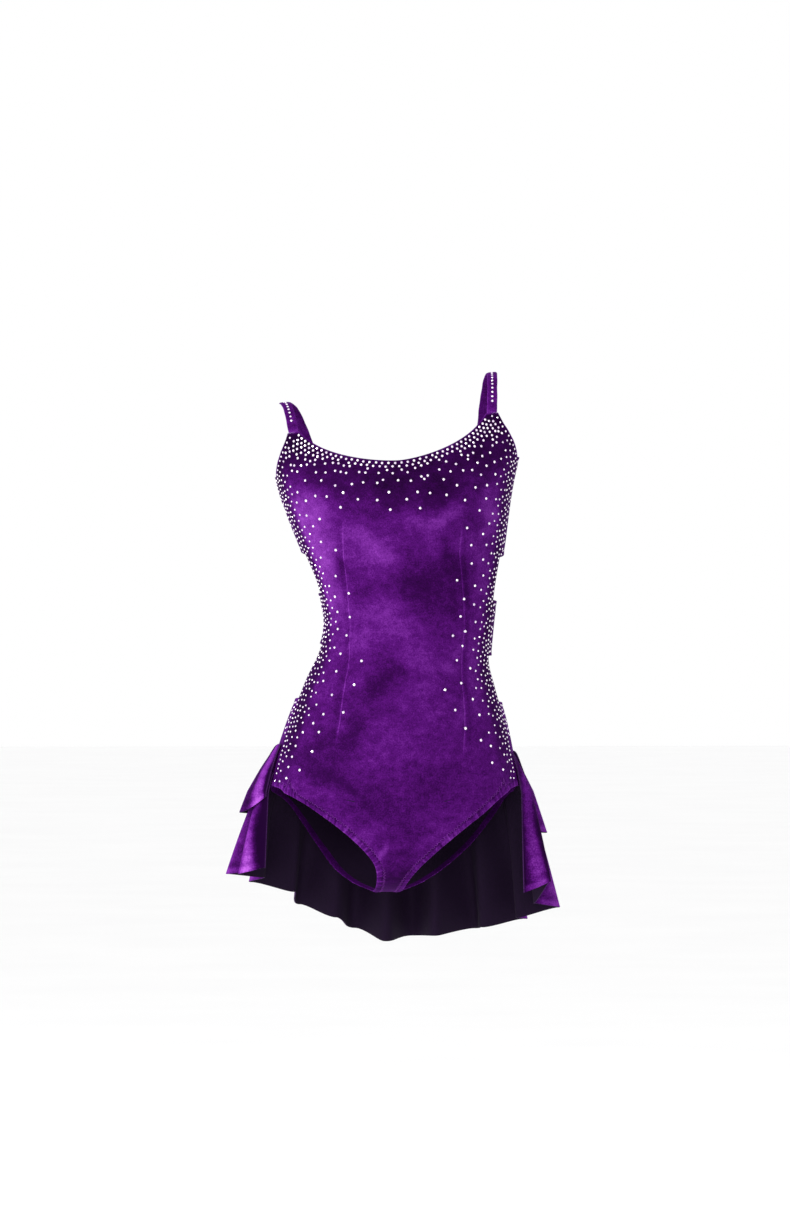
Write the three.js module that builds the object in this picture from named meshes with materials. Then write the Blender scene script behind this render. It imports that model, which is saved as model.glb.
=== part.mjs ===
// Latin dance dress: a leotard of stretch velvet with narrow straps, an open back
// and a skirt of two ruffles that runs from side seam to side seam round the back.
// It keeps the hollow form that it has when it is worn.
// Millimetres, +Z up. The front faces -Y. The origin is midway between the tops of the straps.

import * as THREE from 'three';

// Cloth
const wall = 1.5;          // thickness of the velvet
const seamGap = 0.3;       // between pieces that are sewn together
const curveEase = 0.35;    // more room where flat facets follow a curved seam
const hemWidth = 10.5;     // turned leg hem with its elastic
const hemStep = 1;         // width of the step from the hem to the panel
const hemRaise = 0.7;      // how far the turned hem stands out

// Straps
const strapWidth = 12.5;
const strapThickness = 2.4;
const strapSeatInner = 44.5; // degrees from the centre front
const strapSeatOuter = 52;
const strapJointAngle = 42;  // degrees from the centre back
const strapTops = { left: [-130, 0, -19], right: [130, 0, 19] };
const shoulderLine = new THREE.Vector3(1, 0, 0.1);

// Cross sections of the figure, from the top of the chest to the level of the leg openings.
// left and right are the side points, front and back the depths from the side line,
// seam the angle of the side seam from the centre front in degrees,
// twist the angle that the worn cloth has turned towards -X.
const figureSections = {
  chestTop: { leftX: -157, leftZ: -61, rightX: 174, rightZ: -28, front: 66, back: 80, seam: 60, twist: 2.5 },
  underarm: { leftX: -141, leftZ: -110, rightX: 164, rightZ: -84, front: 93, back: 86, seam: 79, twist: 3 },
  bust: { leftX: -133, leftZ: -140, rightX: 155, rightZ: -128, front: 107, back: 84, seam: 78, twist: 3 },
  underbust: { leftX: -110, leftZ: -199, rightX: 145, rightZ: -202, front: 97, back: 78, seam: 75, twist: 3 },
  highWaist: { leftX: -90, leftZ: -245, rightX: 137, rightZ: -252, front: 86, back: 74, seam: 75, twist: 4 },
  waist: { leftX: -80, leftZ: -290, rightX: 131, rightZ: -306, front: 82, back: 73, seam: 76, twist: 5 },
  lowWaist: { leftX: -87, leftZ: -328, rightX: 129, rightZ: -342, front: 85, back: 78, seam: 76, twist: 4 },
  highHip: { leftX: -105, leftZ: -365, rightX: 136, rightZ: -372, front: 92, back: 90, seam: 76, twist: 3 },
  midHip: { leftX: -126, leftZ: -417, rightX: 149, rightZ: -420, front: 99, back: 106, seam: 76, twist: 1 },
  fullHip: { leftX: -143, leftZ: -470, rightX: 159, rightZ: -470, front: 102, back: 116, seam: 76, twist: 0 },
  legLevel: { leftX: -150, leftZ: -505, rightX: 165, rightZ: -505, front: 102, back: 118, seam: 76, twist: 0 },
};
const sections = Object.values(figureSections);
for (const row of sections) {
  row.down = (sections[0].leftZ + sections[0].rightZ - row.leftZ - row.rightZ) / 2;
}
const underarm = figureSections.underarm;
const legLevel = figureSections.legLevel;

// Below the leg level the section turns about the line between its side points,
// until it is upright at the crotch seam.
const saddleLength = 180;
const saddle = [
  { turn: 0,  centreX: 7.5, halfWidth: 157.5, front: 102, back: 118 },
  { turn: 20, centreX: 13,  halfWidth: 157,   front: 106, back: 119 },
  { turn: 45, centreX: 11,  halfWidth: 155,   front: 115, back: 120 },
  { turn: 65, centreX: 3,   halfWidth: 152,   front: 122, back: 123 },
  { turn: 90, centreX: -2,  halfWidth: 150,   front: 124, back: 124 },
];
const crotchDown = legLevel.down + saddleLength;

// Leg openings: angle from the centre front or the centre back, and distance down the panel.
const frontLegLine = [
  { angle: 76,   down: 452.5 },
  { angle: 65,   down: 456.5 },
  { angle: 52.4, down: 475 },
  { angle: 39.6, down: 498 },
  { angle: 31.4, down: 512 },
  { angle: 22.2, down: 530 },
  { angle: 15,   down: 548 },
  { angle: 10,   down: 567 },
  { angle: 7.4,  down: 592 },
  { angle: 6.6,  down: crotchDown },
];
const backLegLine = [
  { angle: 104, down: 452.5 },
  { angle: 90,  down: 453 },
  { angle: 77,  down: 457 },
  { angle: 62,  down: 482 },
  { angle: 50,  down: 518 },
  { angle: 39,  down: 552 },
  { angle: 28,  down: 582 },
  { angle: 17,  down: 608 },
  { angle: 9,   down: 627 },
  { angle: 6.6, down: crotchDown },
];

// Neckline and armholes, on the upper edge of the front panel
const necklineDepth = 48;      // below the line between the straps
const necklineLowest = 0.04;   // its lowest point, as a share of the half width towards +X
const necklineCurve = 1.62;
const armholeCurve = 0.6;

// Back bands and the upper edge of the seat, as distances down the figure at the seam and centre back
const upperBand = { topSeam: 54, topCentre: 64, bottomSeam: 165, bottomCentre: 142 };
const waistBand = { topSeam: 216, topCentre: 226, bottomSeam: 283, bottomCentre: 276 };
const seatTop = { seam: 345, centre: 358 };

// Ruffles. side and centre are the distances down to the seam on the seat panel, from and to the shares
// of the way round where it starts and ends, and climb how far its last part rises, from climbFrom on.
// curve bends the fall of the cloth: below 1 it stands out first and then hangs.
const ruffles = {
  upper: { side: 400, centre: 410, from: 0, to: 0.93, climb: -9, climbFrom: 0.75, curve: 0.85 },
  lower: { side: 436, centre: 446, from: 0, to: 1, climb: 26, climbFrom: 0.94, curve: 0.75 },
};
const seamTurn = 1;        // degrees from the side seam to the ends of the ruffles
// A row for each ridge and each trough, from the left side seam round the back.
// at is the share of the way round, the flares how far the cloth stands out at the hem for each mm down,
// and the hems their heights.
const folds = [
  { at: 0, upperFlare: 0.07, lowerFlare: 0.05, upperHem: -510, lowerHem: -598 },
  { at: 0.035, upperFlare: 0.29, lowerFlare: 0.29, upperHem: -526, lowerHem: -606 },
  { at: 0.075, upperFlare: 0.15, lowerFlare: 0.13, upperHem: -524, lowerHem: -604 },
  { at: 0.13, upperFlare: 0.44, lowerFlare: 0.44, upperHem: -532, lowerHem: -609 },
  { at: 0.18, upperFlare: 0.16, lowerFlare: 0.14, upperHem: -535, lowerHem: -614 },
  { at: 0.235, upperFlare: 0.45, lowerFlare: 0.46, upperHem: -541, lowerHem: -622 },
  { at: 0.285, upperFlare: 0.15, lowerFlare: 0.12, upperHem: -545, lowerHem: -634 },
  { at: 0.34, upperFlare: 0.38, lowerFlare: 0.37, upperHem: -551, lowerHem: -652 },
  { at: 0.39, upperFlare: 0.14, lowerFlare: 0.11, upperHem: -555, lowerHem: -668 },
  { at: 0.445, upperFlare: 0.36, lowerFlare: 0.33, upperHem: -559, lowerHem: -684 },
  { at: 0.495, upperFlare: 0.14, lowerFlare: 0.11, upperHem: -563, lowerHem: -699 },
  { at: 0.545, upperFlare: 0.37, lowerFlare: 0.35, upperHem: -563, lowerHem: -694 },
  { at: 0.595, upperFlare: 0.15, lowerFlare: 0.12, upperHem: -563, lowerHem: -692 },
  { at: 0.65, upperFlare: 0.39, lowerFlare: 0.38, upperHem: -562, lowerHem: -684 },
  { at: 0.70, upperFlare: 0.15, lowerFlare: 0.12, upperHem: -562, lowerHem: -680 },
  { at: 0.755, upperFlare: 0.38, lowerFlare: 0.36, upperHem: -560, lowerHem: -670 },
  { at: 0.80, upperFlare: 0.15, lowerFlare: 0.12, upperHem: -559, lowerHem: -666 },
  { at: 0.86, upperFlare: 0.41, lowerFlare: 0.37, upperHem: -558, lowerHem: -652 },
  { at: 0.91, upperFlare: 0.15, lowerFlare: 0.10, upperHem: -553, lowerHem: -645 },
  { at: 0.96, upperFlare: 0.28, lowerFlare: 0.25, upperHem: -548, lowerHem: -616 },
  { at: 1, upperFlare: 0.07, lowerFlare: 0.03, upperHem: -536, lowerHem: -630 },
];

// Steps of the meshes
const neckSteps = 18;
const frontRows = 28;
const saddleRows = 11;
const backSteps = 24;
const bandStep = 11;
const seatRows = 6;
const ruffleSteps = { upper: { round: 84, rows: 5 }, lower: { round: 92, rows: 8 } };
const strapFrontSteps = 9;
const strapBackSteps = 12;
const strapSides = 10;

const velvet = (name, color) => {
  return new THREE.MeshStandardMaterial({ name, color, roughness: 0.85, metalness: 0 });
};
const bodyVelvet = velvet('body_velvet', 0x3f0f6e);
const ruffleVelvet = velvet('ruffle_velvet', 0x55189a);
const strapVelvet = velvet('strap_velvet', 0x35095c);

const radians = THREE.MathUtils.degToRad;
const lerp = THREE.MathUtils.lerp;
const clamp = THREE.MathUtils.clamp;

// A smooth curve through one column of a table, at a value of its key column.
function read(rows, key, at, column) {
  let i = 0;
  while (i < rows.length - 2 && rows[i + 1][key] <= at) {
    i += 1;
  }
  const before = rows[Math.max(i - 1, 0)];
  const low = rows[i];
  const high = rows[i + 1];
  const after = rows[Math.min(i + 2, rows.length - 1)];
  const span = high[key] - low[key];
  const share = (at - low[key]) / span;
  const slopeLow = ((high[column] - before[column]) / (high[key] - before[key])) * span;
  const slopeHigh = ((after[column] - low[column]) / (after[key] - low[key])) * span;
  const s2 = share * share;
  const s3 = s2 * share;
  return (
    low[column] * (2 * s3 - 3 * s2 + 1) +
    slopeLow * (s3 - 2 * s2 + share) +
    high[column] * (3 * s2 - 2 * s3) +
    slopeHigh * (s3 - s2)
  );
}

const seamAngle = (down) => read(sections, 'down', Math.min(down, legLevel.down), 'seam');
const twist = (down) => read(sections, 'down', Math.min(down, legLevel.down), 'twist');
const centreX = (down) => {
  return (read(sections, 'down', down, 'leftX') + read(sections, 'down', down, 'rightX')) / 2;
};

// The figure's surface: angle from the centre front in degrees, positive towards +X,
// and distance down from the top of the chest.
function figure(angle, down) {
  const a = radians(angle);
  const ahead = Math.cos(a);
  const depth = ahead > 0 ? 'front' : 'back';
  if (down <= legLevel.down) {
    const at = (column) => read(sections, 'down', Math.max(down, 0), column);
    const side = Math.sin(a);
    const x = (at('leftX') + at('rightX')) / 2 + (side * (at('rightX') - at('leftX'))) / 2;
    const z = (at('leftZ') + at('rightZ')) / 2 + (side * (at('rightZ') - at('leftZ'))) / 2;
    return new THREE.Vector3(x, -ahead * at(depth), z - Math.min(down, 0));
  }
  const turn = Math.min(((down - legLevel.down) / saddleLength) * 90, 90);
  const at = (column) => read(saddle, 'turn', turn, column);
  const reach = Math.abs(ahead) * at(depth);
  const t = radians(turn);
  return new THREE.Vector3(
    at('centreX') + Math.sin(a) * at('halfWidth'),
    -Math.sign(ahead) * reach * Math.cos(t),
    legLevel.leftZ - reach * Math.sin(t),
  );
}

// The same surface, with angles on the worn cloth from its own centre front or centre back.
const frontPoint = (angle, down) => figure(angle - twist(down), down);
const backPoint = (angle, down) => figure(180 - angle - twist(down), down);

// Turns rows of points into a closed wall of cloth. lift(i, j) is extra thickness on the outside.
function clothWall(grid, outward, lift = () => 0) {
  const rows = grid.length;
  const columns = grid[0].length;
  const last = rows - 1;
  const end = columns - 1;
  const points = [];
  const normals = grid.map((row, i) => row.map((point, j) => {
    const down = grid[Math.min(i + 1, last)][j].clone().sub(grid[Math.max(i - 1, 0)][j]);
    const along = row[Math.min(j + 1, end)].clone().sub(row[Math.max(j - 1, 0)]);
    return along.cross(down).normalize().multiplyScalar(outward);
  }));
  for (const side of [1, -1]) {
    grid.forEach((row, i) => row.forEach((point, j) => {
      const extra = side > 0 ? lift(i, j) : 0;
      points.push(point.clone().addScaledVector(normals[i][j], side * (wall / 2) + extra));
    }));
  }
  const index = (side, i, j) => side * rows * columns + i * columns + j;
  const faces = [];
  const quad = (a, b, c, d) => faces.push([a, b, c], [a, c, d]);
  for (let i = 0; i < last; i += 1) {
    for (let j = 0; j < end; j += 1) {
      quad(index(0, i, j), index(0, i, j + 1), index(0, i + 1, j + 1), index(0, i + 1, j));
      quad(index(1, i, j), index(1, i + 1, j), index(1, i + 1, j + 1), index(1, i, j + 1));
    }
  }
  for (let j = 0; j < end; j += 1) {
    quad(index(0, 0, j + 1), index(0, 0, j), index(1, 0, j), index(1, 0, j + 1));
    quad(index(0, last, j), index(0, last, j + 1), index(1, last, j + 1), index(1, last, j));
  }
  for (let i = 0; i < last; i += 1) {
    quad(index(0, i, 0), index(0, i + 1, 0), index(1, i + 1, 0), index(1, i, 0));
    quad(index(0, i + 1, end), index(0, i, end), index(1, i, end), index(1, i + 1, end));
  }
  return closedGeometry(points, faces);
}

// A geometry whose faces point out, whichever way round they were listed.
function closedGeometry(points, faces) {
  let volume = 0;
  for (const [a, b, c] of faces) {
    volume += points[a].dot(points[b].clone().cross(points[c])) / 6;
  }
  const ordered = volume > 0 ? faces : faces.map(([a, b, c]) => [a, c, b]);
  const geometry = new THREE.BufferGeometry();
  geometry.setFromPoints(points);
  geometry.setIndex(ordered.flat());
  geometry.computeVertexNormals();
  return geometry;
}

// Gives each row of a leg line its share of the line's length on the panel's surface.
function measureLeg(line, surface) {
  let length = 0;
  line.forEach((row, i) => {
    const before = line[Math.max(i - 1, 0)];
    length += surface(row.angle, row.down).distanceTo(surface(before.angle, before.down));
    row.share = length;
  });
  for (const row of line) {
    row.share /= length;
  }
  return length;
}

// A point on a leg line, as angle and distance down, at a share of its length.
const legPoint = (line, share) => ({
  angle: read(line, 'share', share, 'angle'),
  down: read(line, 'share', share, 'down'),
});

// The same point moved into the panel by a distance, square to the leg line.
function insideLeg(line, share, surface, distance) {
  const step = 0.01;
  const here = legPoint(line, share);
  const before = legPoint(line, Math.max(share - step, 0));
  const after = legPoint(line, Math.min(share + step, 1));
  const origin = surface(here.angle, here.down);
  const acrossAngle = surface(here.angle + 0.1, here.down).sub(origin).multiplyScalar(10);
  const acrossDown = surface(here.angle, here.down - 0.1).sub(origin).multiplyScalar(-10);
  const tangent = surface(after.angle, after.down).sub(surface(before.angle, before.down)).normalize();
  const inward = acrossAngle.clone().cross(acrossDown).cross(tangent).normalize();
  if (inward.dot(acrossAngle) > 0 && share > 0.5) {
    inward.negate();
  }
  if (inward.dot(acrossDown) > 0 && share <= 0.5) {
    inward.negate();
  }
  const aa = acrossAngle.dot(acrossAngle);
  const ad = acrossAngle.dot(acrossDown);
  const dd = acrossDown.dot(acrossDown);
  const ia = inward.dot(acrossAngle) * distance;
  const id = inward.dot(acrossDown) * distance;
  const determinant = aa * dd - ad * ad;
  return {
    angle: here.angle + (ia * dd - id * ad) / determinant,
    down: here.down + (id * aa - ia * ad) / determinant,
  };
}

// One row of the saddle: from the leg line on one side to the leg line on the other.
// inner holds the positions of the inner columns, from -1 to 1.
function saddleRow(line, share, surface, inner) {
  const edge = legPoint(line, share);
  const fold = insideLeg(line, share, surface, hemWidth);
  const start = insideLeg(line, share, surface, hemWidth + hemStep);
  const middle = lerp(line[0].down, crotchDown, share ** 0.92);
  const row = inner.map((place) => {
    const bow = (1 - place * place) ** 1.5;
    return [place * start.angle, lerp(start.down, middle, bow)];
  });
  row.unshift([-edge.angle, edge.down], [-fold.angle, fold.down]);
  row.push([fold.angle, fold.down], [edge.angle, edge.down]);
  return row.map(([angle, down]) => surface(angle, down));
}

// Evenly spaced numbers, both ends included.
const spaced = (from, to, steps) => Array.from({ length: steps + 1 }, (_, i) => lerp(from, to, i / steps));

// The rows of the saddle end at the crotch seam, half a gap short of it.
function saddleOf(line, surface, inner) {
  const length = measureLeg(line, surface);
  const shares = spaced(0, 1 - seamGap / 2 / length, saddleRows).slice(1);
  return shares.map((share) => saddleRow(line, share, surface, inner));
}

// Extra thickness of the turned leg hem, on the two outer columns of each side.
function hemLift(columns, firstRow) {
  const last = columns.length - 1;
  return (i, j) => (i >= firstRow && (j <= 1 || j >= last - 1) ? hemRaise : 0);
}

function frontPanel() {
  const outer = strapSeatOuter / sections[0].seam;
  const innerSeat = strapSeatInner / sections[0].seam;
  const border = 0.925;
  const armhole = 0.89;
  const middle = spaced(-innerSeat, innerSeat, neckSteps);
  const inner = [-border, -armhole, -outer, ...middle, outer, armhole, border];
  const columns = [-1, -0.932, ...inner, 0.932, 1];
  const topDown = (place) => {
    const width = Math.abs(place);
    if (width > outer) {
      return underarm.down * ((width - outer) / (1 - outer)) ** armholeCurve;
    }
    if (width >= innerSeat - 1e-6) {
      return 0;
    }
    const across = place / innerSeat - necklineLowest;
    const half = across < 0 ? 1 + necklineLowest : 1 - necklineLowest;
    return necklineDepth * (1 - Math.abs(across / half) ** necklineCurve);
  };
  const corner = frontLegLine[0].down;
  const cornerRow = (place) => (Math.abs(place) > 0.99 ? corner : corner - 5.5);
  const share = spaced(0, 1, frontRows);
  const grid = share.map((s) => columns.map((place) => {
    const down = lerp(topDown(place), cornerRow(place), s);
    return frontPoint(place * seamAngle(down), down);
  }));
  grid.push(...saddleOf(frontLegLine, frontPoint, inner.map((place) => place / border)));
  return clothWall(grid, -1, hemLift(columns, frontRows));
}

// A row of a back piece. Its ends lie on the straight edges of the front panel, a gap away from them.
function backRow(columns, downAt) {
  const corner = frontLegLine[0].down;
  return columns.map((place) => {
    const down = downAt(place);
    const angle = place * (180 - seamAngle(down));
    if (Math.abs(place) < 1) {
      return backPoint(angle, down);
    }
    const station = ((down - underarm.down) / (corner - underarm.down)) * frontRows;
    const above = clamp(Math.floor(station), 0, frontRows - 1);
    const ends = [above, above + 1].map((i) => {
      const at = lerp(underarm.down, corner, i / frontRows);
      return frontPoint(place * seamAngle(at), at);
    });
    const towardsBack = backPoint(angle - place, down).sub(backPoint(angle, down)).normalize();
    return ends[0].lerp(ends[1], station - above).addScaledVector(towardsBack, seamGap + curveEase);
  });
}

// How far an edge across the back has come from its height at the seam to its height at the centre.
const backBow = (place) => Math.max(Math.cos((place * Math.PI) / 2), 0) ** 1.3;

function backBand(band) {
  const rows = Math.round((band.bottomSeam - band.topSeam) / bandStep);
  const grid = spaced(0, 1, rows).map((s) => backRow(spaced(-1, 1, backSteps), (place) => {
    const bow = backBow(place);
    const top = lerp(band.topSeam, band.topCentre, bow);
    const bottom = lerp(band.bottomSeam, band.bottomCentre, bow);
    return lerp(top, bottom, s);
  }));
  return clothWall(grid, 1);
}

function seatPanel() {
  const border = 0.93;
  const inner = spaced(-border, border, backSteps - 4);
  const columns = [-1, -0.94, ...inner, 0.94, 1];
  const corner = backLegLine[0].down;
  const grid = spaced(0, 1, seatRows).map((s) => backRow(columns, (place) => {
    const bottom = Math.abs(place) < 1 ? corner - 9 : corner;
    return lerp(lerp(seatTop.seam, seatTop.centre, backBow(place)), bottom, s);
  }));
  grid.push(...saddleOf(backLegLine, backPoint, inner.map((place) => place / border)));
  return clothWall(grid, 1, hemLift(columns, seatRows));
}

// Between a ridge and a trough the cloth swings over in half a wave.
function fold(at, column) {
  let i = 0;
  while (i < folds.length - 2 && folds[i + 1].at <= at) {
    i += 1;
  }
  const share = (at - folds[i].at) / (folds[i + 1].at - folds[i].at);
  const swing = (1 - Math.cos(Math.PI * share)) / 2;
  return lerp(folds[i][column], folds[i + 1][column], swing);
}

// The horizontal direction out of the figure's back at an angle and a distance down.
function awayFromBack(angle, down) {
  const beside = backPoint(angle + 1, down).sub(backPoint(angle - 1, down));
  const normal = new THREE.Vector3(-beside.y, beside.x, 0).normalize();
  const out = backPoint(angle, down).setZ(0).sub(new THREE.Vector3(centreX(down), 0, 0));
  return normal.dot(out) < 0 ? normal.negate() : normal;
}

// A ruffle hangs from its seam on the seat and stands out in folds.
function ruffle(tier) {
  const seam = ruffles[tier];
  const steps = ruffleSteps[tier];
  const grid = spaced(0, 1, steps.rows).map((s) => spaced(seam.from, seam.to, steps.round).map((at) => {
    const place = 2 * at - 1;
    const rise = seam.climb * THREE.MathUtils.smoothstep(at, seam.climbFrom, 1);
    const down = lerp(seam.side, seam.centre, Math.cos((place * Math.PI) / 2)) - rise;
    const angle = place * (180 - seamAngle(down) - seamTurn);
    const root = backPoint(angle, down);
    const length = root.z - fold(at, `${tier}Hem`);
    const fallen = s * length;
    const level = Math.min(down + fallen, legLevel.down);
    const clear = wall + seamGap + curveEase + hemRaise * Math.min(fallen / hemWidth, 1);
    const stand = fold(at, `${tier}Flare`) * length * s ** seam.curve;
    const point = backPoint(angle, level).addScaledVector(awayFromBack(angle, level), clear + stand);
    return point.setZ(root.z - fallen);
  }));
  return clothWall(grid, 1);
}

// The slope of an edge, so that a strap is cut to lie along it.
const slope = (from, to) => (to.z - from.z) / (to.x - from.x);

// A strap rises from the front panel in a quarter of an ellipse, and falls to the back band in another.
function strap(side) {
  const top = new THREE.Vector3(...strapTops[side]);
  const sign = side === 'left' ? -1 : 1;
  const seatAngle = sign * (strapSeatInner + strapSeatOuter) / 2;
  const seat = frontPoint(seatAngle, 0);
  const jointAngle = sign * strapJointAngle;
  const place = jointAngle / (180 - seamAngle(upperBand.topSeam));
  const bandTop = (at) => lerp(upperBand.topSeam, upperBand.topCentre, backBow(at));
  const joint = backPoint(jointAngle, bandTop(place));
  const seatEdge = slope(frontPoint(seatAngle - 2, 0), frontPoint(seatAngle + 2, 0));
  const jointEdge = slope(
    backPoint(jointAngle - 2, bandTop(place - 0.02)),
    backPoint(jointAngle + 2, bandTop(place + 0.02)),
  );
  seat.z += seamGap;
  joint.z += seamGap;
  const quarter = (from, share) => {
    const a = (share * Math.PI) / 2;
    return new THREE.Vector3(
      lerp(from.x, top.x, share),
      lerp(top.y, from.y, Math.cos(a)),
      lerp(from.z, top.z, Math.sin(a)),
    );
  };
  const path = [
    ...spaced(0, 1, strapFrontSteps).map((share) => quarter(seat, share)),
    ...spaced(1, 0, strapBackSteps).slice(1).map((share) => quarter(joint, share)),
  ];
  const sides = strapSides;
  const points = [];
  path.forEach((point, i) => {
    const cut = { 0: seatEdge, [path.length - 1]: jointEdge }[i];
    const before = path[Math.max(i - 1, 0)];
    const ahead = path[Math.min(i + 1, path.length - 1)].clone().sub(before).normalize();
    const across = shoulderLine.clone().addScaledVector(ahead, -ahead.dot(shoulderLine)).normalize();
    const up = across.clone().cross(ahead);
    for (let k = 0; k < sides; k += 1) {
      const a = (2 * Math.PI * k) / sides;
      const flat = Math.sign(Math.cos(a)) * Math.abs(Math.cos(a)) ** 0.5;
      const ring = point.clone()
        .addScaledVector(across, (flat * strapWidth) / 2)
        .addScaledVector(up, (Math.sin(a) * strapThickness) / 2);
      if (cut !== undefined) {
        ring.z = point.z + (ring.x - point.x) * cut;
      }
      points.push(ring);
    }
  });
  const faces = [];
  for (let i = 0; i < path.length - 1; i += 1) {
    for (let k = 0; k < sides; k += 1) {
      const next = (k + 1) % sides;
      faces.push([i * sides + k, i * sides + next, (i + 1) * sides + next]);
      faces.push([i * sides + k, (i + 1) * sides + next, (i + 1) * sides + k]);
    }
  }
  const end = (path.length - 1) * sides;
  for (let k = 1; k < sides - 1; k += 1) {
    faces.push([0, k + 1, k]);
    faces.push([end, end + k, end + k + 1]);
  }
  return closedGeometry(points, faces);
}

const dress = new THREE.Group();

function addPiece(name, geometry, material) {
  const mesh = new THREE.Mesh(geometry, material);
  mesh.name = name;
  dress.add(mesh);
}

addPiece('front_panel', frontPanel(), bodyVelvet);
addPiece('seat_panel', seatPanel(), bodyVelvet);
addPiece('upper_back_band', backBand(upperBand), bodyVelvet);
addPiece('waist_back_band', backBand(waistBand), bodyVelvet);
addPiece('strap_left', strap('left'), strapVelvet);
addPiece('strap_right', strap('right'), strapVelvet);
addPiece('ruffle_upper', ruffle('upper'), ruffleVelvet);
addPiece('ruffle_lower', ruffle('lower'), ruffleVelvet);

export default dress;
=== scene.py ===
import math
import bpy
import numpy as np
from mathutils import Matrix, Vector
from mathutils.bvhtree import BVHTree


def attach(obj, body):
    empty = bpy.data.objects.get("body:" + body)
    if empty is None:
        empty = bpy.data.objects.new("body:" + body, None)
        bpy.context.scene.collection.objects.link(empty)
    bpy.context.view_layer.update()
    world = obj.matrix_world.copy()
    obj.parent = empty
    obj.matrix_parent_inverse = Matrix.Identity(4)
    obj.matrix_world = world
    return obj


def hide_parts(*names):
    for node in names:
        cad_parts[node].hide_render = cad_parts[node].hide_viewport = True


# Latin dance dress in its worn form. Sizes are in millimetres until a mesh is made.
# +Z is up and the front faces -Y. left and right are the sides that the viewer sees.

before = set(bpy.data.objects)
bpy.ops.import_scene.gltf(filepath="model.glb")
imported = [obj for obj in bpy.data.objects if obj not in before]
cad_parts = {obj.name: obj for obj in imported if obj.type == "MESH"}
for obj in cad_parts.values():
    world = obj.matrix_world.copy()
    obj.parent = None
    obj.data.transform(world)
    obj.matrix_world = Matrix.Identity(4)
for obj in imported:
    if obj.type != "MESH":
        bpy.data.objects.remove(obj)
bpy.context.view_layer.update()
bpy.ops.object.select_all(action="DESELECT")
mm = 0.001
sides = {-1: "left", 1: "right"}
print("frame: loaded,", len(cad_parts), "nodes")


# ---- reading tables

def table(columns, *rows):  # rows with named columns, of which a row may leave out the last
    return [dict(zip(columns.split(), row)) for row in rows]


def read(rows, key, at, column):  # a smooth curve through one column of a table
    keys = np.array([row[key] for row in rows], float)
    values = np.array([row[column] for row in rows], float)
    at = np.asarray(at, float)
    i = np.clip(np.searchsorted(keys, at, side="right") - 1, 0, len(rows) - 2)
    before = np.maximum(i - 1, 0)
    after = np.minimum(i + 2, len(rows) - 1)
    span = keys[i + 1] - keys[i]
    share = (at - keys[i]) / span
    slopeLow = (values[i + 1] - values[before]) / (keys[i + 1] - keys[before]) * span
    slopeHigh = (values[after] - values[i]) / (keys[after] - keys[i]) * span
    s2, s3 = share ** 2, share ** 3
    return (values[i] * (2 * s3 - 3 * s2 + 1) + slopeLow * (s3 - 2 * s2 + share)
            + values[i + 1] * (3 * s2 - 2 * s3) + slopeHigh * (s3 - s2))


def mix(a, b, share):
    return a + (b - a) * share


def ease(value, start=0.0, end=1.0):  # 0 at start, 1 at end, soft at both
    t = np.clip((np.asarray(value, float) - start) / (end - start), 0, 1)
    return t * t * (3 - 2 * t)


def hill(distance, width):
    return np.exp(-(distance / width) ** 2)


def unit(vectors):
    return vectors / np.linalg.norm(vectors, axis=-1, keepdims=True)


def travel(points):  # how far along a line each of its points is
    return np.concatenate([[0], np.cumsum(np.linalg.norm(np.diff(points, axis=0), axis=1))])


# ---- the figure inside the dress

# Cross sections: the side points, depths to front and back, angle of the side seam from the centre front,
# and how many degrees the worn cloth has turned towards -X.
figureSections = table(
    "leftX leftZ rightX rightZ front back seam twist",
    (-157, -61, 174, -28, 66, 80, 60, 2.5), (-141, -110, 164, -84, 93, 86, 79, 3),
    (-133, -140, 155, -128, 107, 84, 78, 3), (-110, -199, 145, -202, 97, 78, 75, 3),
    (-90, -245, 137, -252, 86, 74, 75, 4), (-80, -290, 131, -306, 82, 73, 76, 5),
    (-87, -328, 129, -342, 85, 78, 76, 4), (-105, -365, 136, -372, 92, 90, 76, 3),
    (-126, -417, 149, -420, 99, 106, 76, 1), (-143, -470, 159, -470, 102, 116, 76, 0),
    (-150, -505, 165, -505, 102, 118, 76, 0),
)
for row in figureSections:
    row["down"] = (figureSections[0]["leftZ"] + figureSections[0]["rightZ"]
                   - row["leftZ"] - row["rightZ"]) / 2
underarmDown = figureSections[1]["down"]
legDown = figureSections[-1]["down"]

# Below the leg level the section turns about the line between its side points.
saddleSections = table(
    "turn centreX halfWidth front back",
    (0, 7.5, 157.5, 102, 118), (20, 13, 157, 106, 119), (45, 11, 155, 115, 120), (65, 3, 152, 122, 123),
    (90, -2, 150, 124, 124),
)
saddleLength = 180
crotchDown = legDown + saddleLength


def seamAngle(down):
    return read(figureSections, "down", np.minimum(down, legDown), "seam")


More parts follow.
